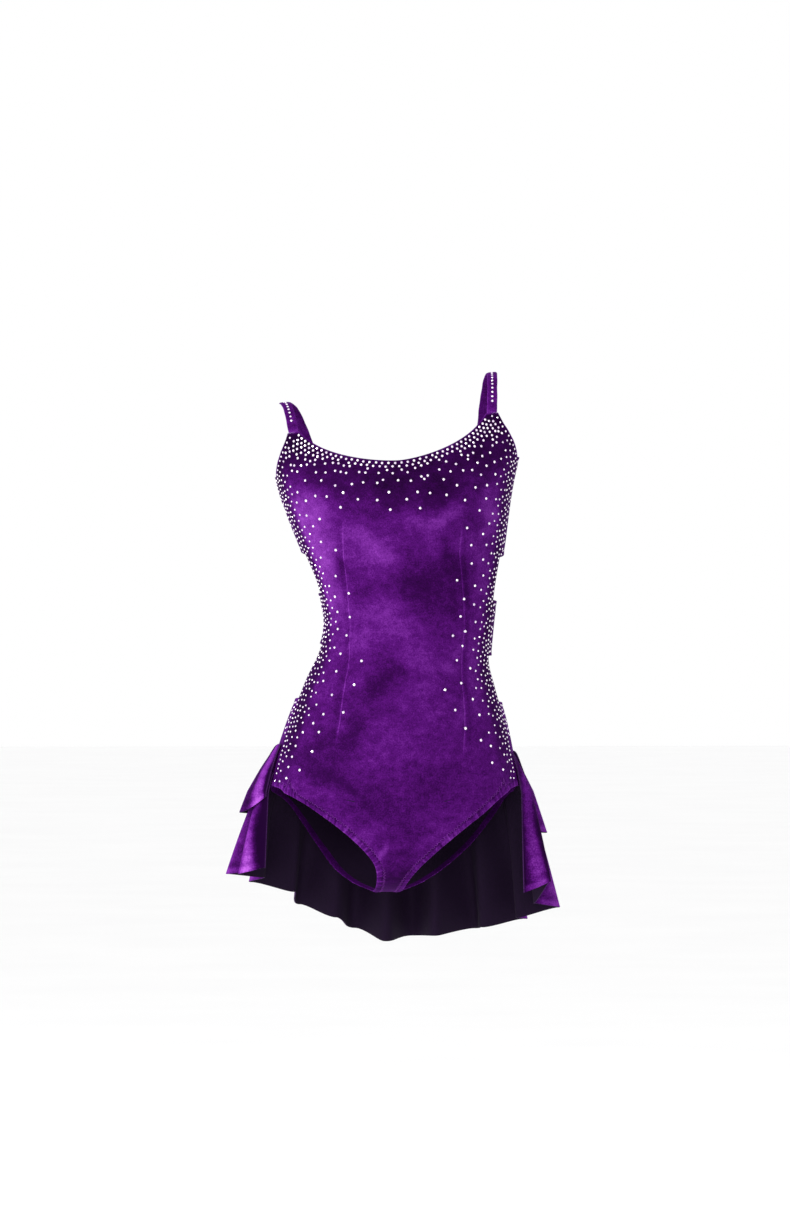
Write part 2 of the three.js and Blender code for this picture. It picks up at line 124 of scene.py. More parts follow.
def figure(angle, down):
    angle, down = np.broadcast_arrays(np.asarray(angle, float), np.asarray(down, float))
    side = np.sin(np.radians(angle))
    ahead = np.cos(np.radians(angle))
    upper = np.clip(down, 0, legDown)
    leftX, rightX, leftZ, rightZ, front, back = [
        read(figureSections, "down", upper, column)
        for column in ("leftX", "rightX", "leftZ", "rightZ", "front", "back")
    ]
    x = (leftX + rightX) / 2 + side * (rightX - leftX) / 2
    z = (leftZ + rightZ) / 2 + side * (rightZ - leftZ) / 2 - np.minimum(down, 0)
    body = np.stack([x, -ahead * np.where(ahead > 0, front, back), z], -1)
    turn = np.clip((down - legDown) / saddleLength * 90, 0, 90)
    centre, half, front, back = [
        read(saddleSections, "turn", turn, column) for column in ("centreX", "halfWidth", "front", "back")
    ]
    reach = np.abs(ahead) * np.where(ahead > 0, front, back)
    t = np.radians(turn)
    below = np.stack([
        centre + side * half,
        -np.sign(ahead) * reach * np.cos(t),
        figureSections[-1]["leftZ"] - reach * np.sin(t),
    ], -1)
    return np.where((down > legDown)[..., None], below, body)


def wornAngle(down):
    return read(figureSections, "down", np.minimum(down, legDown), "twist")


def frontPoint(angle, down):  # angles on the worn cloth, from its own centre front
    return figure(angle - wornAngle(down), down)


def backPoint(angle, down):  # from its centre back
    return figure(180 - angle - wornAngle(down), down)


# ---- making cloth from a grid of points

cloth = {
    "wall": 1.5,          # thickness of the velvet
    "seamGap": 0.3,
    "curveEase": 0.35,    # more room where cloth lies over cloth on a curve
    "hemWidth": 10.5,     # turned leg hem
    "hemStep": 1.0,
    "hemRaise": 0.7,
    "smoothAngle": 50,
}


def gridNormals(grid, outward):
    down = np.gradient(grid, axis=0)
    along = np.gradient(grid, axis=1)
    normal = np.cross(along, down) * outward
    return normal / np.maximum(np.linalg.norm(normal, axis=-1, keepdims=True), 1e-9)


def lift(grid, amount, outward):  # moves the cloth out along its own normals
    return grid + gridNormals(grid, outward) * amount[..., None]


def choose(obj):
    bpy.ops.object.select_all(action="DESELECT")
    obj.select_set(True)
    bpy.context.view_layer.objects.active = obj


def meshObject(name, points, faces, materials):
    mesh = bpy.data.meshes.new(name)
    mesh.from_pydata((np.asarray(points) * mm).tolist(), [], faces)
    mesh.update()
    obj = bpy.data.objects.new(name, mesh)
    bpy.context.scene.collection.objects.link(obj)
    for material in materials:
        mesh.materials.append(material)
    return obj


def setValues(obj, name, values):  # a number on each point, for the material
    attribute = obj.data.attributes.new(name, "FLOAT", "POINT")
    attribute.data.foreach_set("value", np.asarray(values, np.float32).ravel())


def smooth(obj):
    choose(obj)
    bpy.ops.object.shade_smooth_by_angle(angle=math.radians(cloth["smoothAngle"]))


def editAll(operation, **options):  # one edit of the whole active mesh
    bpy.ops.object.mode_set(mode="EDIT")
    bpy.ops.mesh.select_all(action="SELECT")
    operation(**options)
    bpy.ops.object.mode_set(mode="OBJECT")


def pointIndex(points):
    rows, columns = points.shape[:2]
    return np.arange(rows * columns).reshape(rows, columns)


def makeCloth(name, grid, outward, nap, materials):
    index = pointIndex(grid)
    quads = np.stack([index[:-1, :-1], index[1:, :-1], index[1:, 1:], index[:-1, 1:]], -1)
    if outward > 0:
        quads = quads[..., ::-1]
    obj = meshObject(name, grid.reshape(-1, 3), quads.reshape(-1, 4).tolist(), materials)
    setValues(obj, "nap", nap)
    choose(obj)
    wall = obj.modifiers.new("wall", "SOLIDIFY")
    wall.thickness = cloth["wall"] * mm
    wall.offset = 0
    wall.material_offset = 1
    wall.material_offset_rim = 2
    bpy.ops.object.modifier_apply(modifier=wall.name)
    smooth(obj)
    return obj


def makeTube(name, rings, nap):  # turned cloth, closed at both ends
    index = pointIndex(rings)
    following = np.roll(index, -1, axis=1)
    quads = np.stack([index[:-1], following[:-1], following[1:], index[1:]], -1).reshape(-1, 4).tolist()
    ends = [index[0][::-1].tolist(), index[-1].tolist()]
    obj = meshObject(name, rings.reshape(-1, 3), quads + ends, [bodyVelvet])
    setValues(obj, "nap", nap)
    choose(obj)
    editAll(bpy.ops.mesh.normals_make_consistent, inside=False)
    smooth(obj)
    return obj


def takeShape():  # the points and faces of the object just modelled, which is removed
    obj = bpy.context.object
    points = np.array([list(obj.matrix_world @ v.co) for v in obj.data.vertices])
    faces = [list(face.vertices) for face in obj.data.polygons]
    bpy.data.objects.remove(obj)
    return points, faces


def joinCopies(name, copies, faces, material):  # many copies of one small shape as one piece
    count = len(copies[0])
    allFaces = [[number * count + i for i in face] for number in range(len(copies)) for face in faces]
    obj = meshObject(name, np.concatenate(copies), allFaces, [material])
    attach(obj, "root")
    return obj


def creaseRelief(grid, creases):  # soft ridges and troughs, each along a line seen from the front or back
    total = np.zeros(grid.shape[:2])
    for crease in creases:
        start = np.array([crease["fromX"], crease["fromZ"]], float)
        way = np.array([crease["toX"], crease["toZ"]], float) - start
        length = np.linalg.norm(way)
        offset = grid[..., [0, 2]] - start
        along = offset @ way / length ** 2
        across = (offset[..., 0] * way[1] - offset[..., 1] * way[0]) / length
        across = across - crease.get("bend", 0) * 4 * along * (1 - along)
        ends = ease(along, -0.12, 0.3) * ease(1 - along, -0.12, 0.3)
        total += crease["rise"] * hill(across, crease["width"]) * ends
    return total


def toneAndLightPatches(grid, patches):  # patches where the pile's tone is lighter or darker, with painted light and painted shade among them on the front
    total = np.zeros(grid.shape[:2])
    for patch in patches:
        a = math.radians(patch.get("turn", 0))
        dx = grid[..., 0] - patch["x"]
        dz = grid[..., 2] - patch["z"]
        dx = dx + 5 * np.sin(grid[..., 2] / 9 + patch["x"])
        dz = dz + 5 * np.sin(grid[..., 0] / 11 + patch["z"])
        u = (dx * math.cos(a) + dz * math.sin(a)) / patch["wide"]
        v = (dz * math.cos(a) - dx * math.sin(a)) / patch["tall"]
        total += patch["light"] * np.exp(-(u ** 2 + v ** 2) ** 1.3)
    return total


# ---- materials

class Flow:  # a socket of a shader, which takes part in sums
    def __init__(self, tree, socket=None):
        self.tree = tree
        self.socket = socket

    def node(self, kind, settings=None, inputs=None, output=0):
        made = self.tree.nodes.new(kind)
        for key, value in (settings or {}).items():
            if key == "stops":
                ramp = made.color_ramp.elements
                while len(ramp) < len(value):
                    ramp.new(0.5)
                for element, (position, colour) in zip(ramp, value):
                    element.position = position
                    element.color = (*colour, 1)
            else:
                setattr(made, key, value)
        for key, value in (inputs or {}).items():
            if isinstance(value, Flow):
                self.tree.links.new(value.socket, made.inputs[key])
            else:
                made.inputs[key].default_value = value
        return Flow(self.tree, made.outputs[output] if made.outputs else None)

    def maths(self, operation, a, b):
        return self.node("ShaderNodeMath", {"operation": operation}, {0: a, 1: b})

    def __add__(self, other):
        return self.maths("ADD", self, other)

    def __sub__(self, other):
        return self.maths("SUBTRACT", self, other)

    def __mul__(self, other):
        return self.maths("MULTIPLY", self, other)

    def ramp(self, stops):
        return self.node("ShaderNodeValToRGB", {"stops": stops}, {"Fac": self})


def startMaterial(name):
    material = bpy.data.materials.new(name)
    material.use_nodes = True
    material.node_tree.nodes.clear()
    flow = Flow(material.node_tree)
    return material, flow, flow.node("ShaderNodeTexCoord", output="Object")


def pointValue(flow, name):
    return flow.node("ShaderNodeAttribute", {"attribute_name": name}, output="Fac")


def finishMaterial(flow, inputs):
    shader = flow.node("ShaderNodeBsdfPrincipled", inputs=inputs)
    flow.node("ShaderNodeOutputMaterial", inputs={"Surface": shader})


def noise(place, size, detail=3.0, roughness=0.55, distortion=0.0):  # size of its clouds in mm
    return place.node("ShaderNodeTexNoise", inputs={
        "Vector": place, "Scale": 1 / (size * mm), "Detail": detail,
        "Roughness": roughness, "Distortion": distortion,
    }, output="Fac")


velvetLook = {
    "lean": 32, "stretch": (0.85, 1, 1.2),     # the pile's clouds lie slantwise
    "cloudSize": 36, "cloudShare": 0.30,
    "patchSize": 10, "patchShare": 0.42,
    "grainSize": 1.7, "grainShare": 0.55,
    "roughness": 0.8,
    "sheenRoughness": 0.42,
    "bumpStrength": 0.5, "bumpHeight": 0.0006,
}


def velvet(name, stops, sheen, sheenTint):
    look = velvetLook
    material, flow, place = startMaterial(name)
    # the point value holds the pile's tone together with painted light and painted shade; the noise clouds,
    # patches and grain are the pile's own random tone
    nap = pointValue(flow, "nap")
    leaning = flow.node("ShaderNodeMapping", inputs={
        "Vector": place, "Rotation": (0, math.radians(look["lean"]), 0), "Scale": look["stretch"],
    })
    clouds = noise(leaning, look["cloudSize"], 2, 0.5, 0.6) - 0.5
    patches = noise(leaning, look["patchSize"], 3, 0.6, 0.4) - 0.5
    grain = noise(place, look["grainSize"], 2, 0.6)
    value = (nap + clouds * look["cloudShare"] + patches * look["patchShare"]
             + (grain - 0.5) * look["grainShare"])
    colour = value.ramp(stops)
    bump = flow.node("ShaderNodeBump", inputs={
        "Strength": look["bumpStrength"], "Distance": look["bumpHeight"], "Height": grain + patches,
    })
    finishMaterial(flow, {
        "Base Color": colour, "Roughness": look["roughness"], "Specular IOR Level": 0.02,
        "Sheen Weight": sheen, "Sheen Roughness": look["sheenRoughness"], "Sheen Tint": (*sheenTint, 1),
        "Normal": bump,
    })
    return material


bodyVelvet = velvet("body_velvet", [
    (0.0, (0.009, 0.0003, 0.017)),
    (0.28, (0.026, 0.0009, 0.050)),
    (0.5, (0.062, 0.0036, 0.116)),
    (0.75, (0.130, 0.0170, 0.220)),
    (1.0, (0.240, 0.0480, 0.370)),
], 0.10, (0.52, 0.05, 0.90))
# The same velvet for the ruffles, with a brighter top to its ramp and more sheen, for the painted highlights
# on their folds.
ruffleVelvet = velvet("ruffle_velvet", [
    (0.0, (0.008, 0.0003, 0.016)),
    (0.28, (0.026, 0.0010, 0.050)),
    (0.5, (0.078, 0.0055, 0.142)),
    (0.75, (0.180, 0.0260, 0.290)),
    (1.0, (0.370, 0.0850, 0.520)),
], 0.14, (0.58, 0.08, 0.92))


def plainCloth(name, dark, light, size, height):  # the knitted back, a cut edge or thread
    material, flow, place = startMaterial(name)
    speckle = noise(place, size, 3, 0.6)
    bump = flow.node("ShaderNodeBump", inputs={"Strength": 0.6, "Distance": height, "Height": speckle})
    finishMaterial(flow, {
        "Base Color": speckle.ramp([(0.3, dark), (0.7, light)]), "Roughness": 0.85,
        "Specular IOR Level": 0.15, "Normal": bump,
    })
    return material


# The knitted back is its own darker tone, darkened further as painted shade inside the dress.
knitBackAndShade = plainCloth("knit_back_and_painted_shade", (0.004, 0.0008, 0.008), (0.011, 0.0020, 0.019), 0.9, 0.0002)
cutEdge = plainCloth("cut_edge", (0.016, 0.002, 0.030), (0.052, 0.010, 0.086), 1.6, 0.0003)
threadCloth = plainCloth("thread", (0.085, 0.008, 0.150), (0.190, 0.034, 0.290), 0.5, 0.0001)


def stoneMaterial():
    material, flow, place = startMaterial("rhinestone")
    # a random painted glint on each stone, from a purple painted reflection of the velvet to white
    colour = pointValue(flow, "spark").ramp([
        (0.0, (0.58, 0.46, 0.64)), (0.35, (0.86, 0.74, 0.88)), (1.0, (1.0, 0.92, 0.99)),
    ])
    finishMaterial(flow, {
        "Base Color": colour, "Roughness": 0.08, "Metallic": 0.3, "IOR": 1.56,
        "Coat Weight": 1.0, "Coat Roughness": 0.03,
    })
    return material


rhinestone = stoneMaterial()
velvetSet = [bodyVelvet, knitBackAndShade, bodyVelvet]
ruffleSet = [ruffleVelvet, knitBackAndShade, cutEdge]
print("materials: made")


# ---- leg lines

# Angle from the centre front or the centre back, and distance down the panel.
frontLeg = table(
    "angle down",
    (76, 452.5), (65, 456.5), (52.4, 475), (39.6, 498), (31.4, 512), (22.2, 530), (15, 548), (10, 567),
    (7.4, 592), (6.6, crotchDown),
)
backLeg = table(
    "angle down",
    (104, 452.5), (90, 453), (77, 457), (62, 482), (50, 518), (39, 552), (28, 582), (17, 608), (9, 627),
    (6.6, crotchDown),
)


def measureLeg(line, surface):  # gives each row its share of the line's length
    run = travel(surface(np.array([row["angle"] for row in line]), np.array([row["down"] for row in line])))
    for row, along in zip(line, run):
        row["share"] = along / run[-1]
    return run[-1]


frontLegLength = measureLeg(frontLeg, frontPoint)
backLegLength = measureLeg(backLeg, backPoint)


def legPoint(line, share):
    return read(line, "share", share, "angle"), read(line, "share", share, "down")


def insideLeg(line, share, surface, distance):  # a point moved into the panel, square to the leg line
    share, distance = np.broadcast_arrays(np.asarray(share, float), np.asarray(distance, float))
    step = 0.01
    angle, down = legPoint(line, share)
    origin = surface(angle, down)
    acrossAngle = (surface(angle + 0.1, down) - origin) * 10
    acrossDown = (surface(angle, down - 0.1) - origin) * -10
    tangent = (surface(*legPoint(line, np.minimum(share + step, 1)))
               - surface(*legPoint(line, np.maximum(share - step, 0))))
    inward = unit(np.cross(np.cross(acrossAngle, acrossDown), tangent))
    dot = lambda a, b: (a * b).sum(-1)
    wrong = np.where(share > 0.5, dot(inward, acrossAngle) > 0, dot(inward, acrossDown) > 0)
    inward = np.where(wrong[..., None], -inward, inward)
    aa, ad, dd = dot(acrossAngle, acrossAngle), dot(acrossAngle, acrossDown), dot(acrossDown, acrossDown)
    ia, id_ = dot(inward, acrossAngle) * distance, dot(inward, acrossDown) * distance
    determinant = aa * dd - ad * ad
    return angle + (ia * dd - id_ * ad) / determinant, down + (id_ * aa - ia * ad) / determinant


hemTuck = 8.0         # how far the panel's edge lies inside the turned hem
firstShare = 1 / 11   # where the saddle's rows have settled into the leg line's direction
middleFall = 0.92     # their middles start to fall a little early


# Columns are places from -1 to 1, border ends the inner ones, fold is the hem's inner edge,
# and rowZero holds the angles and distances down of the last row above.
def saddleGrid(line, surface, columns, border, fold, rowZero, rows):
    share = np.linspace(0, 1, rows + 1)[1:]
    settled = np.maximum(share, firstShare)[:, None]
    width = np.abs(columns)[None, :]
    sign = np.sign(columns)[None, :]
    inside = cloth["hemWidth"] + cloth["hemStep"]
    startAngle, startDown = insideLeg(line, settled, surface, inside)
    middle = mix(line[0]["down"], crotchDown, settled ** middleFall)
    place = columns[None, :] / border
    bow = np.clip(1 - place ** 2, 0, 1) ** 1.5
    innerAngle = place * startAngle
    innerDown = mix(startDown, middle, bow)
    distance = np.interp(width, [border, fold, 1], [inside, cloth["hemWidth"], hemTuck])
    edgeAngle, edgeDown = insideLeg(line, settled + 0 * width, surface, distance + 0 * settled)
    angle = np.where(width <= border, innerAngle, sign * edgeAngle)
    down = np.where(width <= border, innerDown, edgeDown)
    blend = np.minimum(share / firstShare, 1)[:, None]
    angle = mix(rowZero[0][None, :], angle, blend)
    down = mix(rowZero[1][None, :], down, blend)
    return angle, down


# ---- front panel

front = {
    "seatInner": 44.5, "seatOuter": 52,      # the strap's seat, degrees from the centre front
    "neckDepth": 48, "neckLowest": 0.04, "neckCurve": 1.62, "armholeCurve": 0.6,
    "border": 0.925, "fold": 0.932,
    "neckColumns": 74, "rows": 166, "saddleRows": 96,
    "dartPlace": 0.48,                       # columns are gathered here and follow each dart
    "dartDepth": 0.9, "dartWidth": 1.5, "dartSwell": 0.35, "swellWidth": 7,
    "edgeRoll": 0.45, "edgeWidth": 2.2,
    "girth": 150,                            # of the panel, to turn a place into millimetres
    "legRise": 5.5,                          # its edge climbs into the leg hem
}
# The pile's tone and painted light: a base, a painted highlight along the darts with painted shade beside
# them, painted shade where the panel turns away from the light at its sides and under its upper edge, and a
# painted highlight on its upper edge.
frontToneAndLight = {
    "base": 0.47, "dartPaintedHighlight": 0.30, "dartPaintedHighlightWidth": 0.9, "paintedShadeBesideDart": 0.10,
    "sidePaintedShade": 0.10, "sideShare": 0.88, "sideStart": 0.80, "sideSoft": 0.15,
    "waistStart": 0.09, "hipShare": 0.6,
    "underEdge": (0.06, 0.42), "underWidth": (24, 38),     # at the centre, and at the straps
    "rim": (0.24, 0.50), "rimWidth": (1.4, 5),             # the armhole's edge is steep
}
darts = {
    -1: table(
        "down place",
        (119, -0.384), (167, -0.475), (198, -0.514), (224, -0.539), (248, -0.54), (282, -0.513),
        (312, -0.454), (356, -0.432), (400, -0.424),
    ),
    1: table(
        "down place",
        (130, 0.467), (162, 0.466), (190, 0.504), (225, 0.548), (260, 0.571), (330, 0.524), (364, 0.489),
        (410, 0.432),
    ),
}
frontCreases = table(
    "fromX fromZ toX toZ width rise bend",
    (-62, -172, -22, -199, 9, 0.9, 3), (-40, -203, 24, -238, 10, 0.8, -4), (4, -168, 70, -146, 9, 0.8, 4),
    (56, -164, 22, -196, 7, -0.6), (104, -128, 120, -166, 4, 0.7), (112, -120, 131, -152, 3.5, -0.6),
    (92, -140, 104, -176, 5, -0.5), (96, -98, 110, -106, 3, 0.6, 2), (-116, -118, -98, -158, 6, 0.6),
    (-104, -128, -84, -170, 5, -0.6), (-50, -268, 18, -284, 9, 0.7, -3), (-20, -296, 62, -300, 8, -0.7, 4),
    (40, -258, 108, -282, 7, 0.6), (-78, -284, -30, -302, 6, -0.7), (-86, -312, -36, -318, 5, 0.7, 3),
    (122, -300, 84, -318, 6, -0.7), (124, -326, 92, -340, 5, 0.6), (-20, -352, 4, -392, 14, -1.5),
    (6, -350, 24, -400, 7, 0.8, -3), (-55, -404, -43, -452, 9, -1.2, 3), (-70, -420, -66, -462, 6, 0.7),
    (-100, -432, -74, -452, 8, -1), (-112, -474, -76, -500, 6, -1), (-84, -474, -60, -486, 4, 0.7),
    (60, -398, 86, -440, 8, 0.7, 4), (20, -440, 70, -470, 9, -0.7), (-6, -470, 40, -486, 8, 0.7),
    (118, -448, 84, -492, 7, -0.8), (132, -462, 106, -506, 6, 0.7), (-44, -500, -8, -528, 8, 0.7),
    (52, -506, 20, -548, 8, -0.8), (-16, -560, -6, -602, 4, 0.9), (-2, -566, 4, -610, 4, -0.8),
    (20, -560, 12, -606, 5, 0.7),
)
# The front's patches: the crushed pile's own tone, and painted light and painted shade, such as painted
# shade over the upper chest and beside the crotch and painted light on the left side.
frontToneAndLightPatches = table(
    "x z wide tall light turn",
    (9, -98, 150, 42, -0.3), (20, -140, 92, 24, -0.14), (-92, -212, 30, 86, 0.33, 12),
    (-104, -148, 24, 26, 0.12), (-29, -193, 30, 15, 0.22, -30), (4, -222, 22, 9, 0.05, -28),
    (40, -234, 36, 26, -0.12), (-41, -252, 24, 24, -0.12), (-20, -216, 24, 26, 0.09),
    (66, -160, 22, 12, 0.24, 20), (30, -166, 22, 10, 0.14, 10), (124, -152, 15, 34, 0.29),
    (-13, -290, 38, 28, 0.16), (60, -262, 56, 36, -0.16), (74, -214, 16, 24, -0.16),
    (-64, -218, 8, 18, -0.18), (-6, -366, 25, 25, -0.22), (30, -350, 30, 24, 0.08),
    (-49, -426, 13, 22, -0.24), (-85, -440, 17, 16, -0.18), (-70, -492, 38, 10, -0.2, -24),
    (-104, -486, 24, 12, 0.1, -24), (60, -480, 60, 40, -0.06), (-88, -468, 34, 20, -0.17),
    (4, -516, 66, 38, -0.12), (0, -588, 40, 46, -0.06), (-6, -470, 34, 22, 0.06),
    (-14, -586, 5, 20, 0.24, -8), (-30, -560, 12, 14, 0.1), (26, -612, 18, 20, -0.26),
    (-4, -622, 40, 20, -0.2), (112, -240, 12, 40, 0.1), (100, -330, 14, 26, 0.1),
)


strapInner = front["seatInner"] / figureSections[0]["seam"]
strapOuter = front["seatOuter"] / figureSections[0]["seam"]


def neckDown(place):  # the upper edge of the panel
    width = np.abs(place)
    arm = underarmDown * np.clip((width - strapOuter) / (1 - strapOuter), 0, 1) ** front["armholeCurve"]
    across = place / strapInner - front["neckLowest"]
    half = np.where(across < 0, 1 + front["neckLowest"], 1 - front["neckLowest"])
    neck = front["neckDepth"] * (1 - np.minimum(np.abs(across / half), 1) ** front["neckCurve"])
    return np.where(width > strapOuter, arm, np.where(width >= strapInner - 1e-6, 0, neck))


def frontColumns():
    side = np.concatenate([
        np.linspace(-1, -front["fold"], 4), [-front["border"]],
        np.linspace(-0.9, -strapOuter, 4), np.linspace(-strapOuter, -strapInner, 8)[1:-1],
    ])
    beside = np.array([-0.021, -0.014, -0.009, -0.005, 0.005, 0.009, 0.014, 0.021])
    middle = np.linspace(-strapInner, strapInner, front["neckColumns"] + 1)
    middle = middle[np.abs(np.abs(middle) - front["dartPlace"]) > 0.026]
    extra = [np.append(beside, 0) + home for home in (-front["dartPlace"], front["dartPlace"])]
    return np.sort(np.concatenate([side, -side, middle, *extra]))


def dartLine(side, down):
    rows = darts[side]
    return read(rows, "down", np.clip(down, rows[0]["down"], rows[-1]["down"]), "place")


def sewDarts(place, down, relief, nap):
    toneAndLightTable = frontToneAndLight
    for side, rows in darts.items():
        away = (place - dartLine(side, down)) * front["girth"]
        begins = ease(down, rows[0]["down"] - 6, rows[0]["down"] + 30)
        ends = begins * ease(rows[-1]["down"] + 6 - down, 0, 30)
        pucker = 1 + 0.3 * np.sin(down / 2.3) * np.sin(down / 7.7)
        relief -= front["dartDepth"] * hill(away, front["dartWidth"]) * ends * pucker
        relief += front["dartSwell"] * hill(away, front["swellWidth"]) * ends
        # a painted highlight along each dart, and painted shade beside it
        nap += toneAndLightTable["dartPaintedHighlight"] * hill(away, toneAndLightTable["dartPaintedHighlightWidth"]) * ends * pucker
        nap -= toneAndLightTable["paintedShadeBesideDart"] * hill(away - 5 * side, 4) * ends


def brushFront(columns, down, rim, nap):  # painted shade under the upper edge and towards the sides, and a painted highlight along the upper edge
    toneAndLightTable = frontToneAndLight
    width = np.abs(columns)
    byStrap = ease(width, 0.3, 0.75)[None, :]
    nap -= mix(*toneAndLightTable["underEdge"], byStrap) * hill(rim - 3, mix(*toneAndLightTable["underWidth"], byStrap))
    start = toneAndLightTable["sideStart"] - toneAndLightTable["waistStart"] * ease(down, 230, 320)
    dark = toneAndLightTable["sideShare"] * ease(width[None, :], start, start + toneAndLightTable["sideSoft"])
    dark = dark * (1 - toneAndLightTable["hipShare"] * ease(down, 385, 430))
    nap[:] = mix(nap, toneAndLightTable["sidePaintedShade"], dark)
    rimWidth = mix(*toneAndLightTable["rimWidth"], ease(width, 0.86, 0.9))[None, :]
    nap += mix(*toneAndLightTable["rim"], byStrap) * hill(rim, rimWidth)


def buildFront():
    columns = frontColumns()
    share = np.concatenate([[0, 0.0022, 0.0048, 0.0085], np.linspace(0.014, 1, front["rows"] - 3)])[:, None]
    place = columns[None, :] + 0 * share
    inShare = np.clip((1 - np.abs(columns)) / (1 - front["fold"]), 0, 1)
    bottom = frontLeg[0]["down"] - front["legRise"] * inShare
    down = mix(neckDown(columns)[None, :], bottom[None, :], share)
    for side in darts:
        home = side * front["dartPlace"]
        fade = ease(down, 45, 112) * ease(447 - down, 0, 34)
        place = place + (dartLine(side, down) - home) * hill(columns[None, :] - home, 0.12) * fade
    angle = place * seamAngle(down)
    saddleAngle, saddleDown = saddleGrid(
        frontLeg, frontPoint, columns, front["border"], front["fold"], (angle[-1], down[-1]),
        front["saddleRows"])
    grid = np.concatenate([frontPoint(angle, down), frontPoint(saddleAngle, saddleDown)])
    relief = creaseRelief(grid, frontCreases)
    nap = frontToneAndLight["base"] + toneAndLightPatches(grid, frontToneAndLightPatches)
    rows = len(share)
    rim = down - neckDown(columns)[None, :]
    sewDarts(place, down, relief[:rows], nap[:rows])
    relief[:rows] += front["edgeRoll"] * hill(rim, front["edgeWidth"])
    brushFront(columns, down, rim, nap[:rows])
    return makeCloth("front_velvet", lift(grid, relief, -1), -1, nap, velvetSet)


frontVelvet = buildFront()
print("front panel:", len(frontVelvet.data.polygons), "faces")


# ---- back bands and seat

upperBand = {"topSeam": 54, "topCentre": 64, "bottomSeam": 165, "bottomCentre": 142, "rows": 36}
waistBand = {"topSeam": 216, "topCentre": 226, "bottomSeam": 283, "bottomCentre": 276, "rows": 24}
seat = {
    "seam": 345, "centre": 358, "border": 0.93, "fold": 0.94, "legRise": 9,
    "rows": 34, "saddleRows": 96, "columns": 104,
}
backColumns = 120
backGap = 0.02   # degrees, so that the sides close along their seams
# Base tones of the bands and the seat, and painted shade towards the bands' sides, where they turn away from
# the light.
backToneAndLight = {"band": 0.46, "seat": 0.44, "bandSidePaintedShade": 0.3}
upperBandCreases = table(
    "fromX fromZ toX toZ width rise bend",
    (-150, -120, -70, -132, 5, 0.8), (-142, -150, -86, -158, 4, -0.7), (160, -98, 88, -122, 5, 0.8),
    (152, -140, 96, -150, 4, -0.8), (-50, -122, 40, -118, 6, 0.5, 4), (-20, -170, 70, -164, 5, -0.6),
)
waistBandCreases = table(
    "fromX fromZ toX toZ width rise",
    (-92, -272, -30, -280, 4, 0.7), (-84, -306, -20, -312, 4, -0.7), (134, -280, 70, -290, 4, 0.8),
    (128, -318, 60, -320, 4, -0.6), (-10, -292, 56, -300, 5, 0.5),
)
seatCreases = table(
    "fromX fromZ toX toZ width rise",
    (-110, -398, -40, -424, 6, -0.8), (120, -402, 52, -430, 6, -0.8), (-124, -440, -50, -470, 7, 0.8),
    (136, -448, 64, -478, 7, 0.8), (6, -430, 8, -560, 7, -1.6), (-70, -520, -20, -560, 7, 0.8),
    (84, -520, 34, -562, 7, 0.8), (-40, -560, -10, -600, 5, -0.7), (50, -566, 22, -602, 5, -0.7),
)
backNap = table(
    "x z wide tall light turn",
    (-80, -110, 40, 22, 0.12, 10), (60, -150, 44, 16, 0.12, -8), (0, -130, 36, 20, -0.12),
    (-40, -292, 26, 14, 0.12), (70, -300, 30, 14, -0.1), (-60, -420, 34, 22, 0.12), (70, -440, 36, 24, 0.1),
    (6, -470, 16, 60, -0.16), (-30, -540, 26, 22, 0.08),
)


def backBow(place):  # how far an edge across the back has come from the seam's height to the centre's
    return np.maximum(np.cos(place * math.pi / 2), 0) ** 1.3


def edgePaintedLight(distance):  # a painted highlight on the turned edge, and painted shade in the pressed line behind it
    return 0.14 * hill(distance, 1.8) - 0.08 * hill(distance - 6.5, 1.2)


def edgeRelief(distance):
    return 0.4 * hill(distance, 2.2) - 0.35 * hill(distance - 6.5, 1.1)


def backAngle(columns, down):
    return columns[None, :] * (180 - seamAngle(down) - backGap)


def buildBand(name, band, creases):
    columns = np.linspace(-1, 1, backColumns + 1)
    share = np.linspace(0, 1, band["rows"] + 1)
    share = (share - 0.09 * np.sin(2 * math.pi * share) / (2 * math.pi) * 4)[:, None]
    bow = backBow(columns)[None, :]
    top = mix(band["topSeam"], band["topCentre"], bow)
    bottom = mix(band["bottomSeam"], band["bottomCentre"], bow)
    down = mix(top, bottom, share)
    grid = backPoint(backAngle(columns, down), down)
    fromEdge = np.minimum(down - top, bottom - down)
    relief = creaseRelief(grid, creases) * ease(fromEdge, 0, 12) + edgeRelief(fromEdge)
    nap = backToneAndLight["band"] + toneAndLightPatches(grid, backNap) + edgePaintedLight(fromEdge)
    nap = nap - backToneAndLight["bandSidePaintedShade"] * ease(np.abs(columns), 0.8, 1)[None, :]
    return makeCloth(name, lift(grid, relief, 1), 1, nap, velvetSet)


